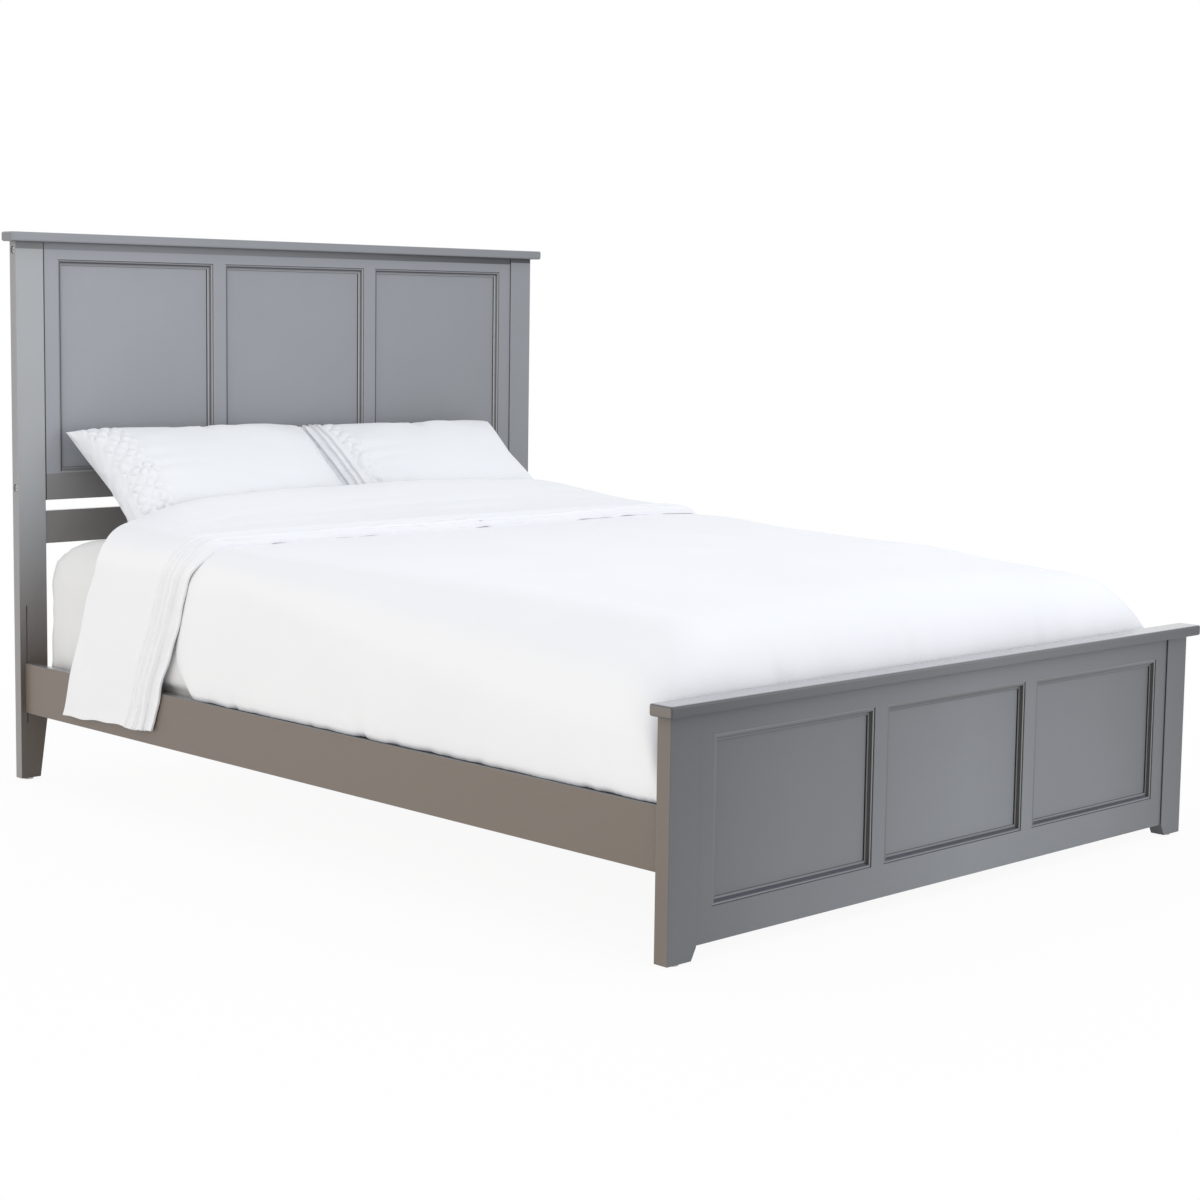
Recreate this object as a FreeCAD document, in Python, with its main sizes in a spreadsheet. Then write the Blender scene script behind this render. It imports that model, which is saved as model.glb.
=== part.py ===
import FreeCAD, Part
import os
import re
import Sketcher

# King size painted panel bed with its bedding.
# X runs across the bed, Y from the footboard to the headboard, Z up.
# The origin is on the floor, at the middle of the overall length and width.

doc = FreeCAD.newDocument("panel_bed")
dims = doc.addObject("Spreadsheet::Sheet", "dims")

# Driving dimensions in millimetres
sizes = {
    "mattress_width": 1500,
    "mattress_length": 2000,
    "mattress_thick": 328,
    "mattress_side_gap": 15,
    "mattress_foot_gap": 14,
    "mattress_head_gap": 49,
    "mattress_corner": 97,
    "mattress_edge": 95,
    "mattress_base_edge": 25,
    "rail_thick": 19,
    "rail_inset": 13,
    "rail_height": 117,
    "rail_bottom": 158,
    "rail_arris": 2,
    "post_width": 72,
    "post_arris": 1.5,
    "head_post_depth": 26,
    "foot_post_depth": 32,
    "head_foot_width": 50,
    "foot_foot_width": 59,
    "headboard_height": 1270,
    "footboard_height": 455,
    "cap_thick": 22,
    "cap_overhang": 21,
    "cap_back": 1,
    "cap_round": 5,
    "frame_setback": 3,
    "frame_thick": 20,
    "head_top_rail": 38,
    "head_bottom_rail": 61,
    "head_frame_bottom": 653,
    "foot_top_rail": 43,
    "foot_bottom_rail": 62,
    "foot_frame_bottom": 28,
    "lower_rail_gap": 25,
    "lower_rail_height": 76,
    "stile_width": 40,
    "mullion_width": 36,
    "groove_depth": 8,
    "groove_clearance": 1,
    "groove_fit": 0.15,
    "panel_thick": 8,
    "step_depth": 1.5,
    "fillet_width": 4.5,
    "cove_width": 5.5,
    "cove_depth": 6.5,
    "toe_width": 4,
    "glide_radius": 11,
    "glide_height": 4,
    "glide_pin_radius": 2,
    "glide_pin_length": 14,
    "peg_radius": 3,
    "peg_length": 36,
    "peg_edge": 9,
    "hole_fit": 0.1,
    "blind_clearance": 1,
    "bolt_radius": 4,
    "bolt_length": 105,
    "bolt_head_radius": 8,
    "bolt_head_thick": 4,
    "bolt_socket_radius": 2.6,
    "bolt_socket_depth": 2.6,
    "counterbore_radius": 8.7,
    "counterbore_depth": 7,
    "barrel_nut_radius": 6,
    "barrel_nut_length": 14,
    "barrel_nut_place": 30,
    "thread_clearance": 0.1,
    "slot_bottom": 135,
    "slot_height": 275,
    "slot_width": 3.4,
    "slot_depth": 17,
    "slot_skin": 3.4,
    "hook_plate_thick": 3,
    "hook_plate_height": 96,
    "hook_plate_grip": 58,
    "hook_reach": 15,
    "hook_notch_height": 20,
    "hook_notch_lip": 6,
    "hook_spacing": 46,
    "hook_pin_radius": 2.8,
    "hook_pin_place": 7.5,
    "hook_screw_radius": 2,
    "hook_screw_head_radius": 4,
    "hook_screw_head_thick": 2.4,
    "cleat_size": 24,
    "slat_thick": 18,
    "slat_width": 70,
    "slat_drop": 38,
    "slat_side_gap": 4,
    "slat_end_gap": 30,
    "strap_width": 25,
    "strap_thick": 1.2,
    "strap_place": 470,
    "beam_width": 44,
    "beam_height": 58,
    "beam_end_gap": 20,
    "leg_size": 44,
    "leg_end_inset": 271.5,
    "leg_foot_gap": 16,
    "foot_disc_radius": 19,
    "foot_disc_thick": 8,
    "foot_stud_radius": 4,
    "foot_stud_length": 62,
    "foot_stud_fit": 0.08,
    "cleat_screw_radius": 2,
    "cleat_screw_length": 38,
    "cleat_screw_head_radius": 4.2,
    "cleat_screw_head_thick": 2.6,
    "cleat_screw_end": 60,
    "bedding_gap": 0.5,
    "duvet_loft": 34.5,
    "duvet_bulge": 20,
    "duvet_shoulder": 80,
    "duvet_hem": 3,
    "duvet_lift": 9,
    "duvet_rise": 150,
    "duvet_head_edge": 290,
    "flap_thick": 17,
    "flap_gap": 1.2,
    "flap_width": 370,
    "flap_slant": 155,
    "flap_hem": 12,
    "flap_round": 5,
    "heap_height": 62,
    "heap_length": 250,
    "heap_back": 26,
    "pillow_width": 666,
    "pillow_gap": 8,
    "pillow_shift": 31,
    "pillow_rise": 228,
    "pillow_run": 292,
    "pillow_thick": 160,
    "pillow_seam": 6,
    "pillow_back_gap": 29,
    "pillow_rest_gap": 1.8,
    "overrun": 4,
}
for row, (alias, value) in enumerate(sizes.items(), start=1):
    dims.set("A%d" % row, alias)
    dims.set("B%d" % row, str(value))
    dims.setAlias("B%d" % row, alias)
doc.recompute()


def expression(text):
    """Write a formula of named sizes the way the document reads it."""
    return re.sub(r"[a-z_]{2,}", lambda word: "dims." + word.group(0), text)


def number(text):
    """Work out a formula of named sizes."""
    return float(dims.evalExpression(expression(text)))


# Places that several pieces share, each a formula of the driving dimensions
half_inner = "(mattress_width / 2 + mattress_side_gap)"
half_rail = "(%s + rail_thick)" % half_inner
half_post = "(%s + rail_inset)" % half_rail
half_frame = "(%s - post_width)" % half_post
half_cap = "(%s + cap_overhang)" % half_post
span = "(mattress_foot_gap + mattress_length + mattress_head_gap)"
overall = "(cap_overhang + foot_post_depth + %s + head_post_depth + cap_back)" % span
foot_front = "(cap_overhang - %s / 2)" % overall
foot_back = "(%s + foot_post_depth)" % foot_front
head_front = "(%s + %s)" % (foot_back, span)
rail_top = "(rail_bottom + rail_height)"
deck_top = "(%s - slat_drop)" % rail_top
slat_base = "(%s - slat_thick)" % deck_top
beam_base = "(%s - beam_height)" % slat_base
mattress_top = "(%s + bedding_gap + mattress_thick)" % deck_top
mattress_foot = "(%s + mattress_foot_gap)" % foot_back
mattress_head = "(%s + mattress_length)" % mattress_foot
recess_width = "((2 * (%s - stile_width) - 2 * mullion_width) / 3)" % half_frame
moulding_depth = "(step_depth + cove_depth + step_depth)"


# Helpers that make one object each and bind its sizes

def bind(thing, name, text):
    thing.setExpression(name, expression(text))
    return thing


def place(thing, x, y, z):
    bind(thing, "Placement.Base.x", x)
    bind(thing, "Placement.Base.y", y)
    bind(thing, "Placement.Base.z", z)
    return thing


def box(label, x, y, z, length, width, height):
    block = doc.addObject("Part::Box", label)
    block.Label = label
    bind(block, "Length", length)
    bind(block, "Width", width)
    bind(block, "Height", height)
    return place(block, x, y, z)


turns = {
    "z": FreeCAD.Rotation(FreeCAD.Vector(0, 0, 1), 0),
    "x": FreeCAD.Rotation(FreeCAD.Vector(0, 1, 0), 90),
    "y": FreeCAD.Rotation(FreeCAD.Vector(1, 0, 0), -90),
}


def rod(label, axis, x, y, z, radius, length):
    """A cylinder that starts at x, y, z and runs along the positive axis."""
    pin = doc.addObject("Part::Cylinder", label)
    pin.Label = label
    bind(pin, "Radius", radius)
    bind(pin, "Height", length)
    pin.Placement = FreeCAD.Placement(FreeCAD.Vector(), turns[axis])
    return place(pin, x, y, z)


def fuse(label, pieces):
    union = doc.addObject("Part::MultiFuse", label)
    union.Label = label
    union.Shapes = pieces
    return union


def carve(label, base, tools):
    cut = doc.addObject("Part::Cut", label)
    cut.Label = label
    cut.Base = base
    cut.Tool = tools[0] if len(tools) == 1 else fuse(label + "_cutters", tools)
    return cut


def group(label, pieces):
    bundle = doc.addObject("Part::Compound", label)
    bundle.Label = label
    bundle.Links = pieces
    return bundle


def new_body(label):
    body = doc.addObject("PartDesign::Body", label)
    body.Label = label
    return body


def sketch_on(body, name, role):
    drawing = body.newObject("Sketcher::SketchObject", name)
    plane = [item for item in body.Origin.OriginFeatures if item.Role == role][0]
    drawing.AttachmentSupport = (plane, [""])
    drawing.MapMode = "FlatFace"
    return drawing


def polygon(drawing, points):
    """Closed outline whose corners are held at formulas from the sketch's origin."""
    start = drawing.GeometryCount
    values = [FreeCAD.Vector(number(x), number(y), 0) for x, y in points]
    count = len(points)
    for index in range(count):
        edge = Part.LineSegment(values[index], values[(index + 1) % count])
        drawing.addGeometry(edge, False)
    for index in range(count):
        following = start + (index + 1) % count
        drawing.addConstraint(Sketcher.Constraint("Coincident", start + index, 2, following, 1))
    for index, (x, y) in enumerate(points):
        for kind, axis, text, value in (
            ("DistanceX", -2, x, values[index].x),
            ("DistanceY", -1, y, values[index].y),
        ):
            if text == "0":
                rule = Sketcher.Constraint("PointOnObject", start + index, 1, axis)
                drawing.addConstraint(rule)
                continue
            rule = Sketcher.Constraint(kind, -1, 1, start + index, 1, value)
            held = drawing.addConstraint(rule)
            drawing.setExpression("Constraints[%d]" % held, expression(text))
    return drawing


def pad(body, name, drawing, length, reverse=False):
    feature = body.newObject("PartDesign::Pad", name)
    feature.Profile = drawing
    bind(feature, "Length", length)
    feature.Reversed = reverse
    drawing.Visibility = False
    return feature


def pocket(body, name, drawing, length, reverse=False):
    feature = body.newObject("PartDesign::Pocket", name)
    feature.Profile = drawing
    bind(feature, "Length", length)
    feature.Reversed = reverse
    return feature


def edges_along(shape, axis, keep=lambda edge: True):
    """Names of the straight edges that run along an axis and pass a test."""
    names = []
    for index, edge in enumerate(shape.Edges, start=1):
        ends = [vertex.Point for vertex in edge.Vertexes]
        if len(ends) != 2 or edge.Curve.TypeId != "Part::GeomLine":
            continue
        way = ends[1].sub(ends[0])
        if abs(way.normalize().dot(axis)) > 0.999 and keep(edge):
            names.append("Edge%d" % index)
    return names


def soften(body, name, radius, edges):
    doc.recompute()
    feature = body.newObject("PartDesign::Fillet", name)
    feature.Base = (body.Group[-2], edges(body.Group[-2].Shape))
    bind(feature, "Radius", radius)
    return feature


along_x = FreeCAD.Vector(1, 0, 0)
along_y = FreeCAD.Vector(0, 1, 0)
along_z = FreeCAD.Vector(0, 0, 1)
nodes = []


def keep(piece):
    nodes.append(piece)
    return piece


# Posts: a plank whose inner side tapers to the foot
def post_blank(label, side, front, depth, top, foot_width, taper_top):
    body = new_body(label + "_blank")
    profile = [
        ("0", "glide_height"),
        (foot_width, "glide_height"),
        ("post_width", taper_top),
        ("post_width", top),
        ("0", top),
    ]
    if side == "right":
        profile = [("(post_width - %s)" % x if x != "0" else "post_width", z) for x, z in profile]
        profile = [("0" if x == "(post_width - post_width)" else x, z) for x, z in profile]
        profile.reverse()
    drawing = polygon(sketch_on(body, label + "_outline", "XZ_Plane"), profile)
    pad(body, label + "_plank", drawing, depth, True)
    soften(body, label + "_arris", "post_arris", lambda shape: edges_along(shape, along_z))
    x = "-%s" % half_post if side == "left" else half_frame
    return place(body, x, front, "0")


def outward(side, distance):
    """Place at a distance in from the outer face of a post."""
    if side == "left":
        return "(-%s + %s)" % (half_post, distance)
    return "(%s - %s)" % (half_post, distance)


def span_from(side, near, length):
    """Start of a run that lies inwards from a post's outer face."""
    if side == "left":
        return outward(side, near)
    return "(%s - %s)" % (outward(side, near), length)


sides = ("left", "right")


# The moulded boards at both ends share one construction
def make_board(name, front, depth, height, frame_bottom, top_rail, bottom_rail, foot_width):
    cap_bottom = "(%s - cap_thick)" % height
    frame_y = "(%s + frame_setback)" % front
    mid_y = "(%s + frame_thick / 2)" % frame_y
    groove_y = "(%s + %s)" % (frame_y, moulding_depth)
    top_z = "(%s - %s)" % (cap_bottom, top_rail)
    bottom_z = "(%s + %s)" % (frame_bottom, bottom_rail)
    opening = "(%s - %s)" % (top_z, bottom_z)
    full = "(2 * %s)" % half_frame

    cap = new_body(name + "_cap")
    corners = [
        ("0", "0"),
        ("(2 * %s)" % half_cap, "0"),
        ("(2 * %s)" % half_cap, "(cap_overhang + %s + cap_back)" % depth),
        ("0", "(cap_overhang + %s + cap_back)" % depth),
    ]
    outline = polygon(sketch_on(cap, name + "_cap_plan", "XY_Plane"), corners)
    pad(cap, name + "_cap_plank", outline, "cap_thick")
    all_edges = lambda shape: ["Edge%d" % (index + 1) for index in range(len(shape.Edges))]
    soften(cap, name + "_cap_bullnose", "cap_round", all_edges)
    place(cap, "-%s" % half_cap, "(%s - cap_overhang)" % front, cap_bottom)
    keep(cap)

    # Rails that run between the posts, with the peg holes drilled in their ends
    rails = [
        ("top_rail", top_z, top_rail, True),
        ("bottom_rail", frame_bottom, bottom_rail, True),
    ]
    if name == "headboard":
        lower_z = "(%s - lower_rail_gap - lower_rail_height)" % frame_bottom
        rails.append(("lower_rail", lower_z, "lower_rail_height", False))
    bolted = [rail for rail in rails if rail[3] and name == "headboard"]
    pegs = []
    post_holes = {side: [] for side in sides}
    for rail, base, width, grooved in rails:
        label = "%s_%s" % (name, rail)
        blank = box(label + "_blank", "-%s" % half_frame, frame_y, base, full, "frame_thick", width)
        cutters = []
        if grooved:
            groove_z = "(%s - overrun)" % base
            if rail == "bottom_rail":
                groove_z = "(%s + %s - groove_depth)" % (base, width)
            cutters.append(box(
                label + "_groove", "(-%s - overrun)" % half_frame, groove_y, groove_z,
                "(%s + 2 * overrun)" % full, "(panel_thick + 2 * groove_fit)",
                "(groove_depth + overrun)",
            ))
        for side in sides:
            for end in ("low", "high"):
                peg_z = "(%s + peg_edge)" % base
                if end == "high":
                    peg_z = "(%s + %s - peg_edge)" % (base, width)
                peg_y = mid_y
                if grooved:
                    peg_y = "(%s + %s / 2)" % (frame_y, moulding_depth)
                start = "(post_width - peg_length / 2)"
                tag = "%s_peg_%s_%s" % (label, side, end)
                pegs.append(rod(
                    tag, "x", span_from(side, start, "peg_length"), peg_y, peg_z,
                    "peg_radius", "peg_length",
                ))
                deep = "(peg_length + 2 * blind_clearance)"
                hole = rod(
                    tag + "_hole", "x", span_from(side, "(%s - blind_clearance)" % start, deep),
                    peg_y, peg_z, "(peg_radius + hole_fit)", deep,
                )
                cutters.append(hole)
                post_holes[side].append(hole)
        if (rail, base, width, grooved) in bolted:
            for side in sides:
                tag = "%s_bolt_%s" % (label, side)
                bolt_z = "(%s + %s / 2)" % (base, width)
                way = "(counterbore_depth - overrun)"
                deep = "(bolt_length + blind_clearance + overrun)"
                shaft = rod(
                    tag + "_hole", "x", span_from(side, way, deep), mid_y, bolt_z,
                    "(bolt_radius + hole_fit)", deep,
                )
                mouth = rod(
                    tag + "_mouth", "x",
                    span_from(side, "(-overrun)", "(counterbore_depth + overrun)"),
                    mid_y, bolt_z, "counterbore_radius", "(counterbore_depth + overrun)",
                )
                nut_hole = rod(
                    tag + "_nut_hole", "y", outward(side, "(post_width + barrel_nut_place)"),
                    "(%s + frame_thick - barrel_nut_length - blind_clearance)" % frame_y, bolt_z,
                    "(barrel_nut_radius + hole_fit)",
                    "(barrel_nut_length + blind_clearance + overrun)",
                )
                cutters.extend([shaft, nut_hole])
                post_holes[side].extend([shaft, mouth])
        keep(carve(label, blank, cutters))
    keep(group(name + "_pegs", pegs))

    # Posts with the slots, pin holes and glide holes that the hardware needs
    for side in sides:
        label = "%s_post_%s" % (name, side)
        taper_top = "rail_bottom" if name == "headboard" else frame_bottom
        blank = post_blank(label, side, front, depth, cap_bottom, foot_width, taper_top)
        slot_near = "(rail_inset + slot_skin)"
        slot_y = "(%s - overrun)" % front
        if name == "footboard":
            slot_y = "(%s + %s - slot_depth)" % (front, depth)
        cutters = list(post_holes[side])
        cutters.append(box(
            label + "_slot", span_from(side, slot_near, "slot_width"), slot_y, "slot_bottom",
            "slot_width", "(slot_depth + overrun)", "slot_height",
        ))
        pin_y = "(%s + hook_pin_place)" % front
        if name == "footboard":
            pin_y = "(%s + %s - hook_pin_place)" % (front, depth)
        for level in (0, 1):
            tag = "%s_pin_hole_%d" % (label, level)
            start = "(rail_inset + slot_skin - 2 * overrun)"
            cutters.append(rod(
                tag, "x", span_from(side, start, "post_width"), pin_y, pin_level(level),
                "(hook_pin_radius + hole_fit)", "post_width",
            ))
        cutters.append(rod(
            label + "_glide_hole", "z", outward(side, "(%s / 2)" % foot_width),
            "(%s + %s / 2)" % (front, depth), "0",
            "(glide_pin_radius + hole_fit)", "(glide_height + glide_pin_length + blind_clearance)",
        ))
        keep(carve(label, blank, cutters))

    # Stiles and mullions with tongues that enter the rails' grooves
    uprights = [
        ("stile_left", "-%s" % half_frame, "stile_width", (False, True)),
        ("mullion_left", "(-%s / 2 - mullion_width)" % recess_width, "mullion_width", (True, True)),
        ("mullion_right", "(%s / 2)" % recess_width, "mullion_width", (True, True)),
        ("stile_right", "(%s - stile_width)" % half_frame, "stile_width", (True, False)),
    ]
    for part_name, x, width, grooves in uprights:
        label = "%s_%s" % (name, part_name)
        bar = box(label + "_bar", x, frame_y, bottom_z, width, "frame_thick", opening)
        tongue = box(
            label + "_tongue", x, "(%s + groove_fit)" % groove_y,
            "(%s - groove_depth + groove_clearance)" % bottom_z, width, "panel_thick",
            "(%s + 2 * groove_depth - 2 * groove_clearance)" % opening,
        )
        cutters = []
        for cut_left, groove_x in (
            (True, "(%s - overrun)" % x),
            (False, "(%s + %s - groove_depth)" % (x, width)),
        ):
            if grooves[0 if cut_left else 1]:
                cutters.append(box(
                    "%s_groove_%s" % (label, "left" if cut_left else "right"), groove_x, groove_y,
                    "(%s - groove_depth - overrun)" % bottom_z, "(groove_depth + overrun)",
                    "(panel_thick + 2 * groove_fit)",
                    "(%s + 2 * groove_depth + 2 * overrun)" % opening,
                ))
        keep(carve(label, fuse(label + "_blank", [bar, tongue]), cutters))

    # Panels and the stepped mouldings round them
    for index, part_name in enumerate(("left", "centre", "right")):
        x = "(-%s + stile_width + %d * (%s + mullion_width))" % (half_frame, index, recess_width)
        bite = "(groove_depth - groove_clearance)"
        keep(box(
            "%s_panel_%s" % (name, part_name), "(%s - %s)" % (x, bite),
            "(%s + groove_fit)" % groove_y, "(%s - %s)" % (bottom_z, bite),
            "(%s + 2 * %s)" % (recess_width, bite), "panel_thick", "(%s + 2 * %s)" % (opening, bite),
        ))
        keep(make_moulding("%s_moulding_%s" % (name, part_name), x, frame_y, bottom_z, opening))


def ring_points(inset, width, height):
    return [
        (inset, inset),
        ("(%s - %s)" % (width, inset), inset),
        ("(%s - %s)" % (width, inset), "(%s - %s)" % (height, inset)),
        (inset, "(%s - %s)" % (height, inset)),
    ]


def make_moulding(label, x, y, z, height):
    """Picture-frame moulding: a thin step, a fillet, a cove, a toe and a last step."""
    body = new_body(label)
    cove_start = "fillet_width"
    cove_end = "(fillet_width + cove_width)"
    inner = "(fillet_width + cove_width + toe_width)"
    outline = polygon(
        sketch_on(body, label + "_outside", "XZ_Plane"),
        [("0", "0"), (recess_width, "0"), (recess_width, height), ("0", height)],
    )
    base = pad(body, label + "_blank", outline, "(%s - step_depth + groove_fit)" % moulding_depth, True)
    hollow = polygon(sketch_on(body, label + "_opening", "XZ_Plane"),
                     ring_points(inner, recess_width, height))
    pocket(body, label + "_window", hollow, "(2 * %s)" % moulding_depth)
    # The cove is two straight slopes, the upper one the steeper
    shallow = "(cove_width / 3)"
    for stage, inset, depth in (
        ("toe", cove_end, "cove_depth"),
        ("lower_slope", "(%s + 2 * %s)" % (cove_start, shallow), "(cove_depth * 0.88)"),
        ("upper_slope", "(%s + %s)" % (cove_start, shallow), "(cove_depth * 0.55)"),
    ):
        drawing = polygon(sketch_on(body, "%s_%s_outline" % (label, stage), "XZ_Plane"),
                          ring_points(inset, recess_width, height))
        pocket(body, "%s_%s" % (label, stage), drawing, depth)
    place(body, x, "(%s + step_depth)" % y, z)
    return body


def pin_level(level):
    """Height of a cross pin that a hook bears on."""
    middle = "(rail_bottom + rail_height / 2)"
    sign = "-" if level == 0 else "+"
    return "(%s %s hook_spacing / 2)" % (middle, sign)


make_board(
    "headboard", head_front, "head_post_depth", "headboard_height", "head_frame_bottom",
    "head_top_rail", "head_bottom_rail", "head_foot_width",
)
make_board(
    "footboard", foot_front, "foot_post_depth", "footboard_height", "foot_frame_bottom",
    "foot_top_rail", "foot_bottom_rail", "foot_foot_width",
)

# Connector bolts and barrel nuts that draw the headboard posts to the frame
bolts = []
nuts = []
bolt_y = "(%s + frame_setback + frame_thick / 2)" % head_front
thread_half = "(barrel_nut_radius + overrun)"
thread_start = "(post_width + barrel_nut_place - %s)" % thread_half
head_cap_bottom = "(headboard_height - cap_thick)"
for level, bolt_z in (
    ("upper", "(%s - head_top_rail / 2)" % head_cap_bottom),
    ("lower", "(head_frame_bottom + head_bottom_rail / 2)"),
):
    for side in sides:
        tag = "post_bolt_%s_%s" % (level, side)
        seat = "(counterbore_depth - bolt_head_thick)"
        shank = rod(
            tag + "_shank", "x", span_from(side, "counterbore_depth", "bolt_length"),
            bolt_y, bolt_z, "bolt_radius", "bolt_length",
        )
        head = rod(
            tag + "_head", "x", span_from(side, seat, "bolt_head_thick"),
            bolt_y, bolt_z, "bolt_head_radius", "bolt_head_thick",
        )
        socket = rod(
            tag + "_socket", "x",
            span_from(side, "(%s - overrun)" % seat, "(bolt_socket_depth + overrun)"),
            bolt_y, bolt_z, "bolt_socket_radius", "(bolt_socket_depth + overrun)",
        )
        bolts.append(carve(tag, fuse(tag + "_blank", [shank, head]), [socket]))
        nut = rod(
            tag + "_nut_blank", "y",
            outward(side, "(post_width + barrel_nut_place)"),
            "(%s + frame_setback + frame_thick - barrel_nut_length)" % head_front, bolt_z,
            "barrel_nut_radius", "barrel_nut_length",
        )
        thread = rod(
            tag + "_thread", "x",
            span_from(side, thread_start, "(2 * %s)" % thread_half),
            bolt_y, bolt_z, "(bolt_radius + thread_clearance)", "(2 * %s)" % thread_half,
        )
        nuts.append(carve(tag + "_nut", nut, [thread]))
keep(group("headboard_bolts", bolts))
keep(group("headboard_barrel_nuts", nuts))

# Screws that hold the slat cleats to the side rails
cleat_z = "(%s - cleat_size)" % slat_base
cleat_y = "(%s + cleat_screw_end / 2)" % foot_back
cleat_length = "(%s - cleat_screw_end)" % span
cleat_face = "(rail_inset + rail_thick + cleat_size)"
cleat_screw_count = 6
screw_step = "((%s - 2 * cleat_screw_end) / %d)" % (cleat_length, cleat_screw_count - 1)
cleat_screws = {side: [] for side in sides}
for side in sides:
    for index in range(cleat_screw_count):
        tag = "cleat_screw_%s_%d" % (side, index)
        screw_y = "(%s + cleat_screw_end + %d * %s)" % (cleat_y, index, screw_step)
        screw_z = "(%s + cleat_size / 2)" % cleat_z
        tip = span_from(side, "(%s - cleat_screw_length)" % cleat_face, "cleat_screw_length")
        shank = rod(tag + "_shank", "x", tip, screw_y, screw_z, "cleat_screw_radius", "cleat_screw_length")
        top = span_from(side, "(%s - cleat_screw_head_thick)" % cleat_face, "cleat_screw_head_thick")
        head = rod(
            tag + "_head", "x", top, screw_y, screw_z, "cleat_screw_head_radius", "cleat_screw_head_thick",
        )
        cleat_screws[side].append(fuse(tag, [shank, head]))

# Side rails with a saw kerf at each end for the hook plates
ends = ("head", "foot")
for side in sides:
    label = "side_rail_%s" % side
    rail = new_body(label + "_board")
    corners = [("0", "0"), ("rail_thick", "0"), ("rail_thick", "rail_height"), ("0", "rail_height")]
    section = polygon(sketch_on(rail, label + "_section", "XZ_Plane"), corners)
    pad(rail, label + "_plank", section, span, True)
    soften(rail, label + "_arris", "rail_arris", lambda shape: edges_along(shape, along_y))
    place(rail, span_from(side, "rail_inset", "rail_thick"), foot_back, "rail_bottom")
    cutters = list(cleat_screws[side])
    kerf_near = "(rail_inset + slot_skin)"
    kerf_length = "(hook_plate_grip + blind_clearance + overrun)"
    sink_depth = "(hook_screw_head_thick + hole_fit + overrun)"
    for end in ends:
        kerf_y = "(%s - overrun)" % foot_back
        screw_y = "(%s + hook_plate_grip / 2)" % foot_back
        if end == "head":
            kerf_y = "(%s - hook_plate_grip - blind_clearance)" % head_front
            screw_y = "(%s - hook_plate_grip / 2)" % head_front
        cutters.append(box(
            "%s_kerf_%s" % (label, end), span_from(side, kerf_near, "slot_width"), kerf_y,
            "(rail_bottom + rail_height / 2 - hook_plate_height / 2 - blind_clearance)",
            "slot_width", kerf_length, "(hook_plate_height + 2 * blind_clearance)",
        ))
        for level in (0, 1):
            cutters.append(rod(
                "%s_screw_hole_%s_%d" % (label, end, level), "x",
                span_from(side, kerf_near, "(rail_thick - slot_skin + overrun)"),
                screw_y, pin_level(level), "(hook_screw_radius + hole_fit)",
                "(rail_thick - slot_skin + overrun)",
            ))
            cutters.append(rod(
                "%s_screw_sink_%s_%d" % (label, end, level), "x",
                span_from(side, "(rail_inset + rail_thick + overrun - %s)" % sink_depth, sink_depth),
                screw_y, pin_level(level), "(hook_screw_head_radius + hole_fit)", sink_depth,
            ))
    keep(carve(label, rail, cutters))

# Cleats that carry the slats
for side in sides:
    label = "slat_cleat_%s" % side
    batten = box(
        label + "_batten", span_from(side, "(rail_inset + rail_thick)", "cleat_size"),
        cleat_y, cleat_z, "cleat_size", cleat_length, "cleat_size",
    )
    keep(carve(label, batten, cleat_screws[side]))
keep(group("cleat_screws", cleat_screws["left"] + cleat_screws["right"]))

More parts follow.
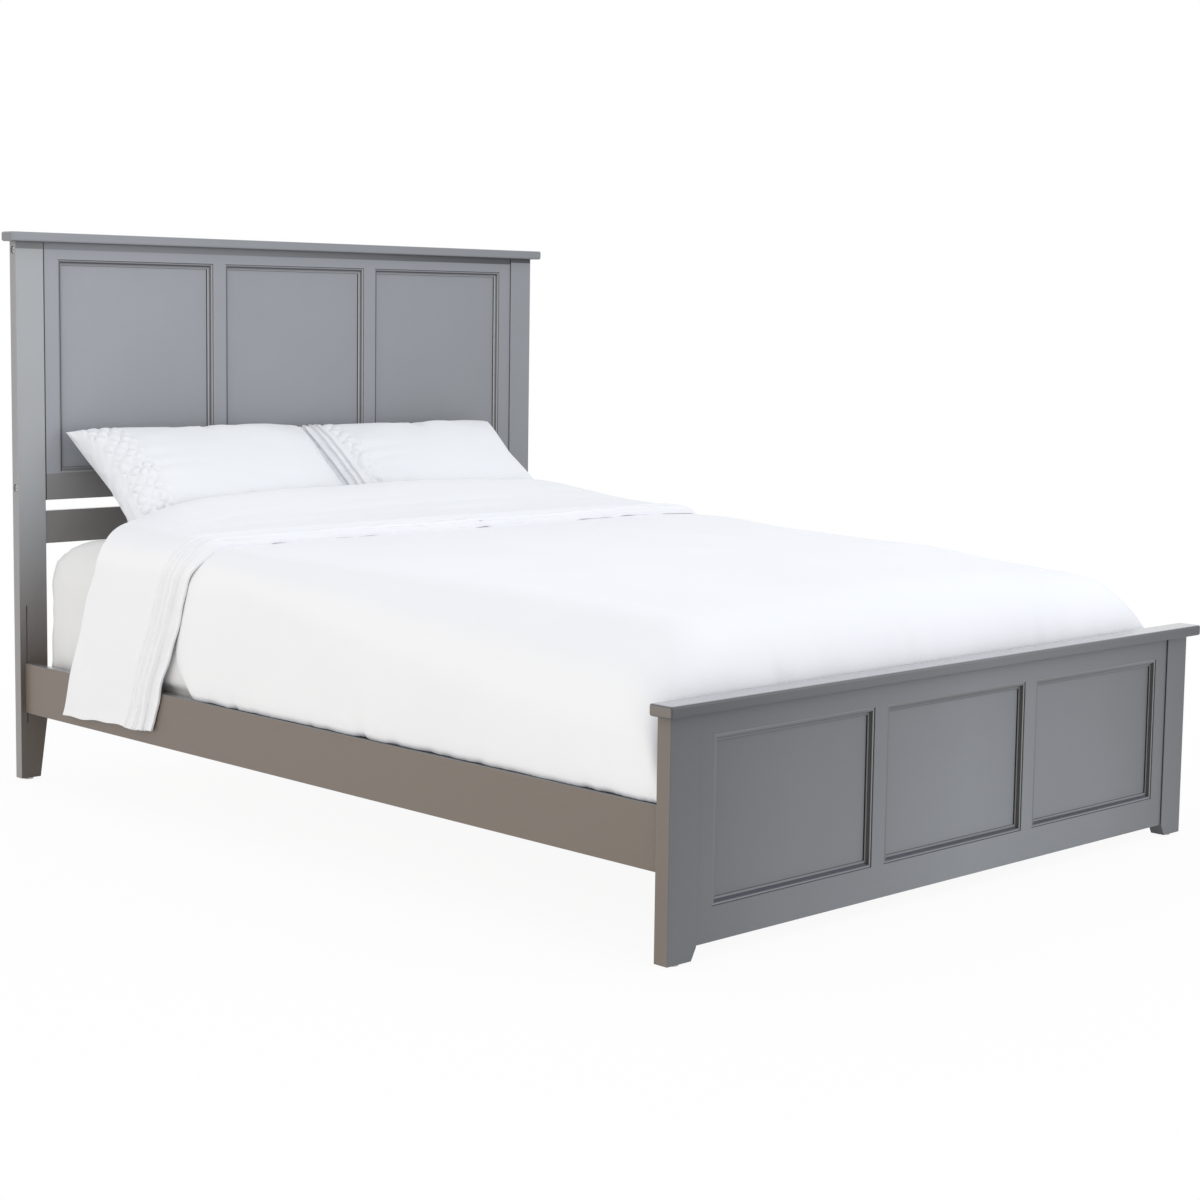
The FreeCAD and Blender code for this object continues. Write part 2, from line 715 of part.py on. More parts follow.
# Steel hook plates: two downward hooks bear on cross pins in each post
plates = []
pins = []
plate_screws = []
notch_half = "(hook_pin_radius + hole_fit)"
for side in sides:
    for end in ends:
        tag = "hook_plate_%s_%s" % (end, side)
        blade_near = "(rail_inset + slot_skin + (slot_width - hook_plate_thick) / 2)"
        blade_x = span_from(side, blade_near, "hook_plate_thick")
        blade_z = "(rail_bottom + rail_height / 2 - hook_plate_height / 2)"
        total = "(hook_plate_grip + hook_reach)"
        blade_y = "(%s - hook_reach)" % foot_back
        if end == "head":
            blade_y = "(%s - hook_plate_grip)" % head_front
        blade = box(
            tag + "_blade", blade_x, blade_y, blade_z, "hook_plate_thick", total, "hook_plate_height",
        )
        cutters = []
        for level in (0, 1):
            pin_y = "(%s - hook_pin_place)" % foot_back
            mouth_y = "(%s - %s)" % (pin_y, notch_half)
            if end == "head":
                pin_y = "(%s + hook_pin_place)" % head_front
                mouth_y = "(%s - %s)" % (pin_y, notch_half)
            seat = rod(
                "%s_seat_%d" % (tag, level), "x",
                span_from(side, "(rail_inset + slot_skin - overrun)", "(slot_width + 2 * overrun)"),
                pin_y, pin_level(level), notch_half, "(slot_width + 2 * overrun)",
            )
            mouth = box(
                "%s_mouth_%d" % (tag, level),
                span_from(side, "(rail_inset + slot_skin - overrun)", "(slot_width + 2 * overrun)"),
                mouth_y, "(%s - hook_notch_height)" % pin_level(level),
                "(slot_width + 2 * overrun)", "(2 * %s)" % notch_half, "hook_notch_height",
            )
            way_y = "(%s - hook_reach - overrun)" % foot_back
            if end == "head":
                way_y = pin_y
            way_in = box(
                "%s_way_in_%d" % (tag, level),
                span_from(side, "(rail_inset + slot_skin - overrun)", "(slot_width + 2 * overrun)"),
                way_y, "(%s - hook_notch_height)" % pin_level(level),
                "(slot_width + 2 * overrun)", "(hook_reach - hook_pin_place + overrun)",
                "(hook_notch_height - hook_notch_lip)",
            )
            screw_y = "(%s + hook_plate_grip / 2)" % foot_back
            if end == "head":
                screw_y = "(%s - hook_plate_grip / 2)" % head_front
            hole = rod(
                "%s_hole_%d" % (tag, level), "x",
                span_from(side, "(rail_inset + slot_skin - overrun)", "(slot_width + 2 * overrun)"),
                screw_y, pin_level(level), "(hook_screw_radius + hole_fit)", "(slot_width + 2 * overrun)",
            )
            cutters.extend([seat, mouth, way_in, hole])
            pin_label = "%s_pin_%d" % (tag, level)
            pin_start = "(rail_inset + slot_skin - 2 * overrun + blind_clearance)"
            pin_run = "(post_width - %s)" % pin_start
            pins.append(rod(
                pin_label, "x", span_from(side, pin_start, pin_run), pin_y, pin_level(level),
                "hook_pin_radius", pin_run,
            ))
            screw_label = "%s_screw_%d" % (tag, level)
            screw_run = "(rail_thick - slot_skin - hole_fit)"
            shank = rod(
                screw_label + "_shank", "x",
                span_from(side, "(rail_inset + slot_skin)", screw_run),
                screw_y, pin_level(level), "hook_screw_radius", screw_run,
            )
            seat_near = "(rail_inset + rail_thick - hook_screw_head_thick)"
            head = rod(
                screw_label + "_head", "x", span_from(side, seat_near, "hook_screw_head_thick"),
                screw_y, pin_level(level), "hook_screw_head_radius", "hook_screw_head_thick",
            )
            plate_screws.append(fuse(screw_label, [shank, head]))
        plates.append(carve(tag, blade, cutters))
keep(group("rail_hook_plates", plates))
keep(group("hook_cross_pins", pins))
keep(group("hook_plate_screws", plate_screws))

# Fourteen slats in two rolled packs, each pack held by two woven straps
slat_count = 14
slat_length = "(2 * %s - 2 * slat_side_gap)" % half_inner
slat_pitch = "((%s - 2 * slat_end_gap - slat_width) / %d)" % (span, slat_count - 1)
strap_bands = []
for pack, first in (("foot", 0), ("head", slat_count // 2)):
    slats = []
    for index in range(first, first + slat_count // 2):
        slat = box(
            "slat_%02d" % (index + 1), "(-%s / 2)" % slat_length,
            "(%s + slat_end_gap + %d * %s)" % (foot_back, index, slat_pitch), slat_base,
            slat_length, "slat_width", "slat_thick",
        )
        slats.append(slat)
    keep(group("slats_%s_pack" % pack, slats))
    for side in sides:
        x = "(-strap_place - strap_width / 2)" if side == "left" else "(strap_place - strap_width / 2)"
        strap_bands.append(box(
            "slat_strap_%s_%s" % (pack, side), x,
            "(%s + slat_end_gap + %d * %s)" % (foot_back, first, slat_pitch),
            "(%s - strap_thick)" % slat_base, "strap_width",
            "(%d * %s + slat_width)" % (slat_count // 2 - 1, slat_pitch), "strap_thick",
        ))
keep(group("slat_straps", strap_bands))

# Centre beam on three legs with screw-in levelling feet
keep(box(
    "centre_beam", "(-beam_width / 2)", "(%s + beam_end_gap)" % foot_back, beam_base,
    "beam_width", "(%s - 2 * beam_end_gap)" % span, "beam_height",
))
for index, part_name in enumerate(("foot_end", "middle", "head_end")):
    leg_reach = "(%s / 2 - leg_end_inset)" % span
    centre_y = "(%s + %s / 2 + %d * %s)" % (foot_back, span, index - 1, leg_reach)
    leg_z = "(foot_disc_thick + leg_foot_gap)"
    leg = box(
        "centre_leg_%s_blank" % part_name, "(-leg_size / 2)", "(%s - leg_size / 2)" % centre_y,
        leg_z, "leg_size", "leg_size", "(%s - %s)" % (beam_base, leg_z),
    )
    bore = rod(
        "centre_leg_%s_bore" % part_name, "z", "0", centre_y, "(%s - overrun)" % leg_z,
        "(foot_stud_radius + foot_stud_fit)",
        "(foot_stud_length + overrun + blind_clearance)",
    )
    keep(carve("centre_leg_%s" % part_name, leg, [bore]))
    disc = rod(
        "leg_leveller_%s_disc" % part_name, "z", "0", centre_y, "0",
        "foot_disc_radius", "foot_disc_thick",
    )
    stud = rod(
        "leg_leveller_%s_stud" % part_name, "z", "0", centre_y, "0",
        "foot_stud_radius", "foot_stud_length",
    )
    keep(fuse("leg_leveller_%s" % part_name, [disc, stud]))

# Nylon glides pinned under the four posts
glides = []
for end, front, depth, foot_width in (
    ("head", head_front, "head_post_depth", "head_foot_width"),
    ("foot", foot_front, "foot_post_depth", "foot_foot_width"),
):
    for side in sides:
        tag = "glide_%s_%s" % (end, side)
        x = outward(side, "(%s / 2)" % foot_width)
        y = "(%s + %s / 2)" % (front, depth)
        disc = rod(tag + "_disc", "z", x, y, "0", "glide_radius", "glide_height")
        pin = rod(tag + "_pin", "z", x, y, "0", "glide_pin_radius", "(glide_height + glide_pin_length)")
        glides.append(fuse(tag, [disc, pin]))
keep(group("post_glides", glides))

# Mattress: rounded in plan, with a soft upper edge
mattress = new_body("mattress")
corners = [
    ("0", "0"),
    ("mattress_width", "0"),
    ("mattress_width", "mattress_length"),
    ("0", "mattress_length"),
]
plan = polygon(sketch_on(mattress, "mattress_plan", "XY_Plane"), corners)
pad(mattress, "mattress_block", plan, "mattress_thick")
soften(mattress, "mattress_corners", "mattress_corner", lambda shape: edges_along(shape, along_z))
high = number("mattress_thick")


def rim(level):
    def pick(shape):
        return [
            "Edge%d" % (index + 1) for index, edge in enumerate(shape.Edges)
            if abs(edge.BoundBox.ZMin - level) < 0.01 and abs(edge.BoundBox.ZMax - level) < 0.01
        ]
    return pick


soften(mattress, "mattress_upper_edge", "mattress_edge", rim(high))
soften(mattress, "mattress_lower_edge", "mattress_base_edge", rim(0))
place(mattress, "(-mattress_width / 2)", mattress_foot, "(%s + bedding_gap)" % deck_top)
keep(mattress)
doc.recompute()


# Bedding. Sections are lines and arcs across the bed, lofted along it.

def arc(a, b, c):
    return Part.Arc(a, b, c).toShape()


def line(a, b):
    return Part.LineSegment(a, b).toShape()


def add_feature(label, shape):
    feature = doc.addObject("Part::Feature", label)
    feature.Label = label
    feature.Shape = shape
    feature.Placement = FreeCAD.Placement(FreeCAD.Vector(), FreeCAD.Rotation())
    return keep(feature)


root_half = 2 ** 0.5 / 2
hem_z = number(rail_top) + number("duvet_hem")
hem = number("duvet_hem")
widest = number(half_inner) + number("duvet_bulge")
duvet_top = number(mattress_top) + number("duvet_loft")
duvet_foot = number(foot_back) + number("cap_back") + number("bedding_gap")
duvet_head = number(mattress_head) - number("duvet_head_edge")
duvet_shoulder = number("duvet_shoulder")
crown_lift = number("duvet_lift")


def duvet_section(y, top, shoulder, lift):
    """One cross-section: tucked hem, full side, rounded shoulder and a slight crown."""
    def point(x, z):
        return FreeCAD.Vector(x, y, z)

    side_z = top - shoulder
    flat_x = widest - shoulder
    shoulder_x = flat_x + shoulder * root_half
    shoulder_z = side_z + shoulder * root_half
    hem_x = widest - 2 * hem
    return Part.Wire([
        line(point(hem_x, hem_z), point(widest, hem_z + 2 * hem)),
        line(point(widest, hem_z + 2 * hem), point(widest, side_z)),
        arc(point(widest, side_z), point(shoulder_x, shoulder_z), point(flat_x, top)),
        arc(point(flat_x, top), point(0, top + lift), point(-flat_x, top)),
        arc(point(-flat_x, top), point(-shoulder_x, shoulder_z), point(-widest, side_z)),
        line(point(-widest, side_z), point(-widest, hem_z + 2 * hem)),
        line(point(-widest, hem_z + 2 * hem), point(-hem_x, hem_z)),
        line(point(-hem_x, hem_z), point(hem_x, hem_z)),
    ])


# Shares of the duvet's length, of its full height, of its shoulder and of its crown
duvet_length = duvet_head - duvet_foot
rise_share = number("duvet_rise") / duvet_length
run_shares = (
    (rise_share, 0.895, 2.56, 2.9),
    (0.213, 0.925, 2.5, 2.7),
    (0.306, 0.94, 2.3, 2.3),
    (0.495, 0.963, 1.7, 1.8),
    (0.699, 0.985, 1.1, 1.1),
    (1.0, 1.0, 1.0, 1.0),
)
# The foot end rises steeply behind the footboard and then levels off
low_share = 0.5
roundness = 2.7
full_height = duvet_top - hem_z
end_height = full_height * run_shares[0][1]
wires = []
for back_share in (0, 0.02, 0.06, 0.12, 0.2, 0.32, 0.5, 0.75, 1):
    swell = (1 - (1 - back_share) ** roundness) ** (1 / roundness)
    height = end_height * (low_share + (1 - low_share) * swell)
    shoulder = min(duvet_shoulder * run_shares[0][2], height * 0.8)
    y = duvet_foot + duvet_length * rise_share * back_share
    wires.append(duvet_section(y, hem_z + height, shoulder, crown_lift * run_shares[0][3]))
foot_end = Part.makeLoft(wires, True, False)
wires = []
for length_share, height_share, shoulder_share, lift_share in run_shares:
    y = duvet_foot + duvet_length * length_share
    top = hem_z + full_height * height_share
    wires.append(duvet_section(y, top, duvet_shoulder * shoulder_share, crown_lift * lift_share))
run = Part.makeLoft(wires, True, True)
add_feature("duvet", foot_end.fuse(run).cut(mattress.Shape))

# Turned-down head end of the duvet, hanging over both side rails
flap_in = number("flap_gap")
flap_out = flap_in + number("flap_thick")
flap_round = number("flap_round")
flap_hem_z = number("rail_bottom") + number("flap_hem")
side_top_z = duvet_top - duvet_shoulder
arc_steps = 6


def flap_path(offset):
    """Half of a path over the duvet, from the left hem up to the crown, at an offset."""
    radius = duvet_shoulder + offset
    centre_x = duvet_shoulder - widest
    hang = side_top_z - flap_hem_z
    stations = [(centre_x - radius, flap_hem_z + hang * share) for share in (0.0, 0.5)]
    for step in range(arc_steps + 1):
        turn = FreeCAD.Rotation(FreeCAD.Vector(0, 0, 1), 90 - 90 * step / arc_steps)
        way = turn.multVec(FreeCAD.Vector(0, radius, 0))
        stations.append((centre_x + way.x, side_top_z + way.y))
    for share in (0.25, 0.5, 0.75):
        lift = crown_lift * (1 - (1 - share) ** 2)
        stations.append((centre_x * (1 - share), duvet_top + offset + lift))
    return stations


left_half = list(zip(flap_path(flap_in), flap_path(flap_out)))
crown_top = duvet_top + crown_lift
middle = ((0.0, crown_top + flap_in), (0.0, crown_top + flap_out))
right_half = [((-a, b), (-c, d)) for (a, b), (c, d) in reversed(left_half)]
# The folded end is thick, and heaps up against the pillows between the two shoulders
half_heaps = [0.0] * (arc_steps + 2) + [0.2, 0.72, 0.9, 0.98]
heap_shares = half_heaps + [1.0] + half_heaps[::-1]
heap_profile = ((0.3, 0.82), (0.52, 0.46), (0.76, 0.14), (1.0, 0.0))
flap_wires = []
stations = left_half + [middle] + right_half
for ((inner_x, inner_z), (outer_x, outer_z)), heap_share in zip(stations, heap_shares):
    drop_share = max(duvet_top - inner_z, 0) / (duvet_top - flap_hem_z)
    shift = number("flap_slant") * drop_share
    last = duvet_head - flap_round + shift
    first = last - number("flap_width")
    low = FreeCAD.Vector(inner_x, 0, inner_z)
    high = FreeCAD.Vector(outer_x, 0, outer_z)
    centre = (low + high) * 0.5
    heap = FreeCAD.Vector(0, 0, number("heap_height") * heap_share)
    crest = high + heap + along_y * (last - number("heap_back") * heap_share)
    edges = [
        line(low + along_y * first, low + along_y * last),
        arc(low + along_y * last, centre + heap * 0.4 + along_y * (last + flap_round), crest),
    ]
    for back_share, height_share in heap_profile:
        step_point = high + heap * height_share + along_y * (last - number("heap_length") * back_share)
        edges.append(line(crest, step_point))
        crest = step_point
    edges.append(line(crest, high + along_y * first))
    foot_middle = centre + along_y * (first - flap_round)
    edges.append(arc(high + along_y * first, foot_middle, low + along_y * first))
    flap_wires.append(Part.Wire(edges))
add_feature("duvet_turndown", Part.makeLoft(flap_wires, True, True))

# Pillows: each leans back from the fold of the duvet to the headboard
run = number("pillow_run")
rise = number("pillow_rise")
seam = number("pillow_seam")
half_length = (run ** 2 + rise ** 2) ** 0.5 / 2
up_face = FreeCAD.Vector(0, run, rise) / (2 * half_length)
off_face = FreeCAD.Vector(0, -rise, run) / (2 * half_length)
full_half = number("pillow_thick") / 2
middle_share = 0.965
depth = full_half - seam / 2
belly = ((half_length * middle_share) ** 2 + depth ** 2) / (2 * depth)
# The lowest point of the rounded back rests on the mattress
middle_z = number(mattress_top) + number("pillow_rest_gap") + belly - off_face.z * (belly - full_half)
middle_y = number(head_front) - number("pillow_back_gap") - run / 2


def pillow_section(x, half_thick, length_share):
    """A lens of two arcs with a blunt seam at each end."""
    middle_point = FreeCAD.Vector(x, middle_y, middle_z)
    reach = up_face * (half_length * length_share)
    blunt = off_face * (seam / 2)
    swell = off_face * half_thick
    return Part.Wire([
        arc(middle_point - reach + blunt, middle_point + swell, middle_point + reach + blunt),
        line(middle_point + reach + blunt, middle_point + reach - blunt),
        arc(middle_point + reach - blunt, middle_point - swell, middle_point - reach - blunt),
        line(middle_point - reach - blunt, middle_point - reach + blunt),
    ])


# Shares of the half width, of the thickness and of the length, from the middle to a side
pillow_shares = (
    (0.0, 1.0, middle_share), (0.3, 0.97, middle_share), (0.6, 0.84, 0.97), (0.82, 0.62, 0.98),
    (0.94, 0.38, 0.992), (1.0, 0.14, 1.0),
)
half_width = number("pillow_width") / 2
for side, way in (("left", -1), ("right", 1)):
    middle_x = way * (number("pillow_gap") / 2 + half_width) - number("pillow_shift")
    stations = [(-share, thick, length) for share, thick, length in reversed(pillow_shares[1:])]
    wires = [
        pillow_section(middle_x + share * half_width, full_half * thick, length)
        for share, thick, length in stations + list(pillow_shares)
    ]
    add_feature("pillow_%s" % side, Part.makeLoft(wires, True, False))

# Every object and every piece is checked before anything is written
doc.recompute()
for thing in doc.Objects:
    bad = [word for word in thing.State if word in ("Invalid", "Error")]
    if bad:
        raise RuntimeError("%s did not build: %s" % (thing.Label, bad))
names = [piece.Label for piece in nodes]
if len(set(names)) != len(names):
    raise RuntimeError("two pieces share a name")
for piece in nodes:
    if piece.Shape.isNull() or not piece.Shape.isValid() or not piece.Shape.Solids:
        raise RuntimeError("%s has no valid shape" % piece.Label)

os.makedirs("parts", exist_ok=True)
for piece in nodes:
    piece.Shape.exportStep("parts/%s.step" % piece.Label)
print("%d pieces written" % len(nodes))
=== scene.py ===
import math

import bmesh
import bpy
import numpy as np
from mathutils import Matrix, Vector
from mathutils.bvhtree import BVHTree


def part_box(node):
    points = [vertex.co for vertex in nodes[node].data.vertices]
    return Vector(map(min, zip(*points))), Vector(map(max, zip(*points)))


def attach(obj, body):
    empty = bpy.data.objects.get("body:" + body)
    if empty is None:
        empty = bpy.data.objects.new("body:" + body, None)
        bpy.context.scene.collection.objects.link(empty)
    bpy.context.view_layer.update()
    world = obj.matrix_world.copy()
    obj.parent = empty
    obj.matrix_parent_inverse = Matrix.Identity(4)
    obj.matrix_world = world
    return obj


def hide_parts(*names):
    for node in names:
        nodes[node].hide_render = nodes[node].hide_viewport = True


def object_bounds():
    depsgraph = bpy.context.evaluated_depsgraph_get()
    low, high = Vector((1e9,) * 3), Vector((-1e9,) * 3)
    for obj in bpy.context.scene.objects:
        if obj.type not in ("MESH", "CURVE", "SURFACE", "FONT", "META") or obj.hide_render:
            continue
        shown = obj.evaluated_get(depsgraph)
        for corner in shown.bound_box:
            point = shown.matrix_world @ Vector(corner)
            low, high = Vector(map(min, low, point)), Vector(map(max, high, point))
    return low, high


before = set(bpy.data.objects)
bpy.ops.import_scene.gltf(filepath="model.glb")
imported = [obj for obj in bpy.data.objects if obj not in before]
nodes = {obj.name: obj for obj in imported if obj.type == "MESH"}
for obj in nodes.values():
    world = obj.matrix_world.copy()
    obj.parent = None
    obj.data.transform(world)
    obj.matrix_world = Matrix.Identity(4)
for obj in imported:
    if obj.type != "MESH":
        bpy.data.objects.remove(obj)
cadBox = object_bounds()
print("stage: frame loaded,", len(nodes), "nodes")

scene = bpy.context.scene


class Wire:
    # one socket of a node graph, with plain arithmetic
    def __init__(self, graph, socket):
        self.graph = graph
        self.socket = socket

    def __add__(self, other):
        return self.graph.math("ADD", self, other)

    def __radd__(self, other):
        return self.graph.math("ADD", other, self)

    def __sub__(self, other):
        return self.graph.math("SUBTRACT", self, other)

    def __rsub__(self, other):
        return self.graph.math("SUBTRACT", other, self)

    def __mul__(self, other):
        return self.graph.math("MULTIPLY", self, other)

    def __truediv__(self, other):
        return self.graph.math("DIVIDE", self, other)

    def __pow__(self, other):
        return self.graph.math("POWER", self, other)

    def sine(self):
        return self.graph.math("SINE", self)

    def size(self):
        return self.graph.math("ABSOLUTE", self)

    def above(self, low, high):
        # 0 below low, 1 above high, smooth between
        return self.graph.node(
            "ShaderNodeMapRange", {"interpolation_type": "SMOOTHSTEP"},
            {"Value": self, "From Min": low, "From Max": high},
        )


class Graph:
    # the node graph of one material
    def __init__(self, name):
        self.material = bpy.data.materials.new(name)
        self.material.use_nodes = True
        self.tree = self.material.node_tree
        self.tree.nodes.clear()
        self.shader = self.tree.nodes.new("ShaderNodeBsdfPrincipled")
        output = self.tree.nodes.new("ShaderNodeOutputMaterial")
        self.tree.links.new(self.shader.outputs[0], output.inputs[0])

    def feed(self, socket, value):
        if isinstance(value, Wire):
            self.tree.links.new(value.socket, socket)
        elif isinstance(value, (tuple, list)) and len(value) == 3 and len(socket.default_value) == 4:
            socket.default_value = (*value, 1)
        else:
            socket.default_value = value

    def node(self, kind, settings=None, inputs=None, out=0):
        made = self.tree.nodes.new(kind)
        for name, value in (settings or {}).items():
            if name == "stops":
                ramp = made.color_ramp.elements
                ramp.remove(ramp[-1])
                ramp[0].position = value[0][0]
                for index, (place, colour) in enumerate(value):
                    element = ramp.new(place) if index else ramp[0]
                    element.color = (*colour, 1)
            else:
                setattr(made, name, value)
        for name, value in (inputs or {}).items():
            self.feed(made.inputs[name], value)
        return Wire(self, made.outputs[out])

    def math(self, operation, *values):
        return self.node("ShaderNodeMath", {"operation": operation}, dict(enumerate(values)))

    def vector(self, operation, *values):
        return self.node("ShaderNodeVectorMath", {"operation": operation}, dict(enumerate(values)))

    def place(self, scale=(1, 1, 1)):
        # object coordinates in metres, stretched per axis
        coords = self.node("ShaderNodeTexCoord", out="Object")
        return self.vector("MULTIPLY", coords, scale)

    def facing(self):
        return self.node("ShaderNodeTexCoord", out="Normal")

    def axis(self, vector, name):
        return self.node("ShaderNodeSeparateXYZ", None, {0: vector}, out=name)

    def noise(self, vector, scale, detail, roughness):
        return self.node(
            "ShaderNodeTexNoise", None,
            {"Vector": vector, "Scale": scale, "Detail": detail, "Roughness": roughness},
        )

    def mix(self, share, first, second):
        return self.node(
            "ShaderNodeMix", {"data_type": "RGBA"}, {0: share, 6: first, 7: second}, out=2,
        )

    def bump(self, height, distance, strength):
        inputs = {"Height": height, "Distance": distance, "Strength": strength}
        return self.node("ShaderNodeBump", None, inputs)

    def finish(self, **sockets):
        for name, value in sockets.items():
            label = "".join(" " + c if c.isupper() else c for c in name).strip().title()
            self.feed(self.shader.inputs[label], value)
        return self.material


def dress(obj, material):
    obj.data.materials.clear()
    obj.data.materials.append(material)


def smoothStep(value, low, high):
    t = np.clip((value - low) / (high - low), 0, 1)
    return t * t * (3 - 2 * t)


def bell(value, width):
    return np.exp(-(value / width) ** 2)


def coordinates(mesh):
    flat = np.zeros(len(mesh.vertices) * 3)
    mesh.vertices.foreach_get("co", flat)
    return flat.reshape(-1, 3)


def setCoordinates(mesh, points):
    mesh.vertices.foreach_set("co", np.ascontiguousarray(points, dtype=np.float64).ravel())
    mesh.update()


def vertexNormals(mesh):
    flat = np.zeros(len(mesh.vertices) * 3)
    mesh.vertices.foreach_get("normal", flat)
    return flat.reshape(-1, 3)


def smoothShade(mesh):
    mesh.polygons.foreach_set("use_smooth", [True] * len(mesh.polygons))


def objectFrom(bm, name):
    mesh = bpy.data.meshes.new(name)
    bm.to_mesh(mesh)
    bm.free()
    smoothShade(mesh)
    obj = bpy.data.objects.new(name, mesh)
    scene.collection.objects.link(obj)
    return obj


def applyModifiers(obj):
    bpy.context.view_layer.update()
    evaluated = obj.evaluated_get(bpy.context.evaluated_depsgraph_get())
    mesh = bpy.data.meshes.new_from_object(evaluated)
    obj.modifiers.clear()
    old = obj.data
    obj.data = mesh
    bpy.data.meshes.remove(old)
    mesh.name = obj.name


def waves(points, settings):
    # sum of smooth sine waves with seeded directions: a cheap, repeatable soft unevenness
    count, length, height, seed = settings
    draw = np.random.default_rng(seed)
    total = np.zeros(len(points))
    for _ in range(count):
        way = draw.normal(size=3)
        way /= np.linalg.norm(way)
        size = length * draw.uniform(0.6, 1.6)
        total += np.sin(points @ way * 2 * math.pi / size + draw.uniform(0, 2 * math.pi))
    return total * height / math.sqrt(count)


def puff(obj, settings):
    # cloth with pressure, so that the skin finds its own folds, then a cap on how far it moved
    before = coordinates(obj.data)
    cloth = obj.modifiers.new("Cloth", "CLOTH")
    cloth.settings.quality = 5
    cloth.settings.mass = 0.25
    cloth.settings.tension_stiffness = 20
    cloth.settings.compression_stiffness = 20
    cloth.settings.shear_stiffness = 6
    cloth.settings.bending_stiffness = settings["bending"]
    cloth.settings.shrink_min = settings["shrink"]
    cloth.settings.use_pressure = True
    cloth.settings.uniform_pressure_force = settings["pressure"]
    cloth.settings.effector_weights.gravity = 0
    cloth.collision_settings.use_collision = False
    cloth.collision_settings.use_self_collision = False
    scene.frame_set(1)
    for step in range(1, settings["frames"] + 1):
        scene.frame_set(step)
    bpy.context.view_layer.update()
    evaluated = obj.evaluated_get(bpy.context.evaluated_depsgraph_get())
    after = coordinates(evaluated.to_mesh())
    evaluated.to_mesh_clear()
    obj.modifiers.clear()
    scene.frame_set(1)
    move = after - before
    far = np.linalg.norm(move, axis=1, keepdims=True)
    move *= np.minimum(1, settings["cap"] / np.maximum(far, 1e-9))
    setCoordinates(obj.data, before + move)
    print("stage: cloth on", obj.name, "moved at most", round(float(far.max()), 4))


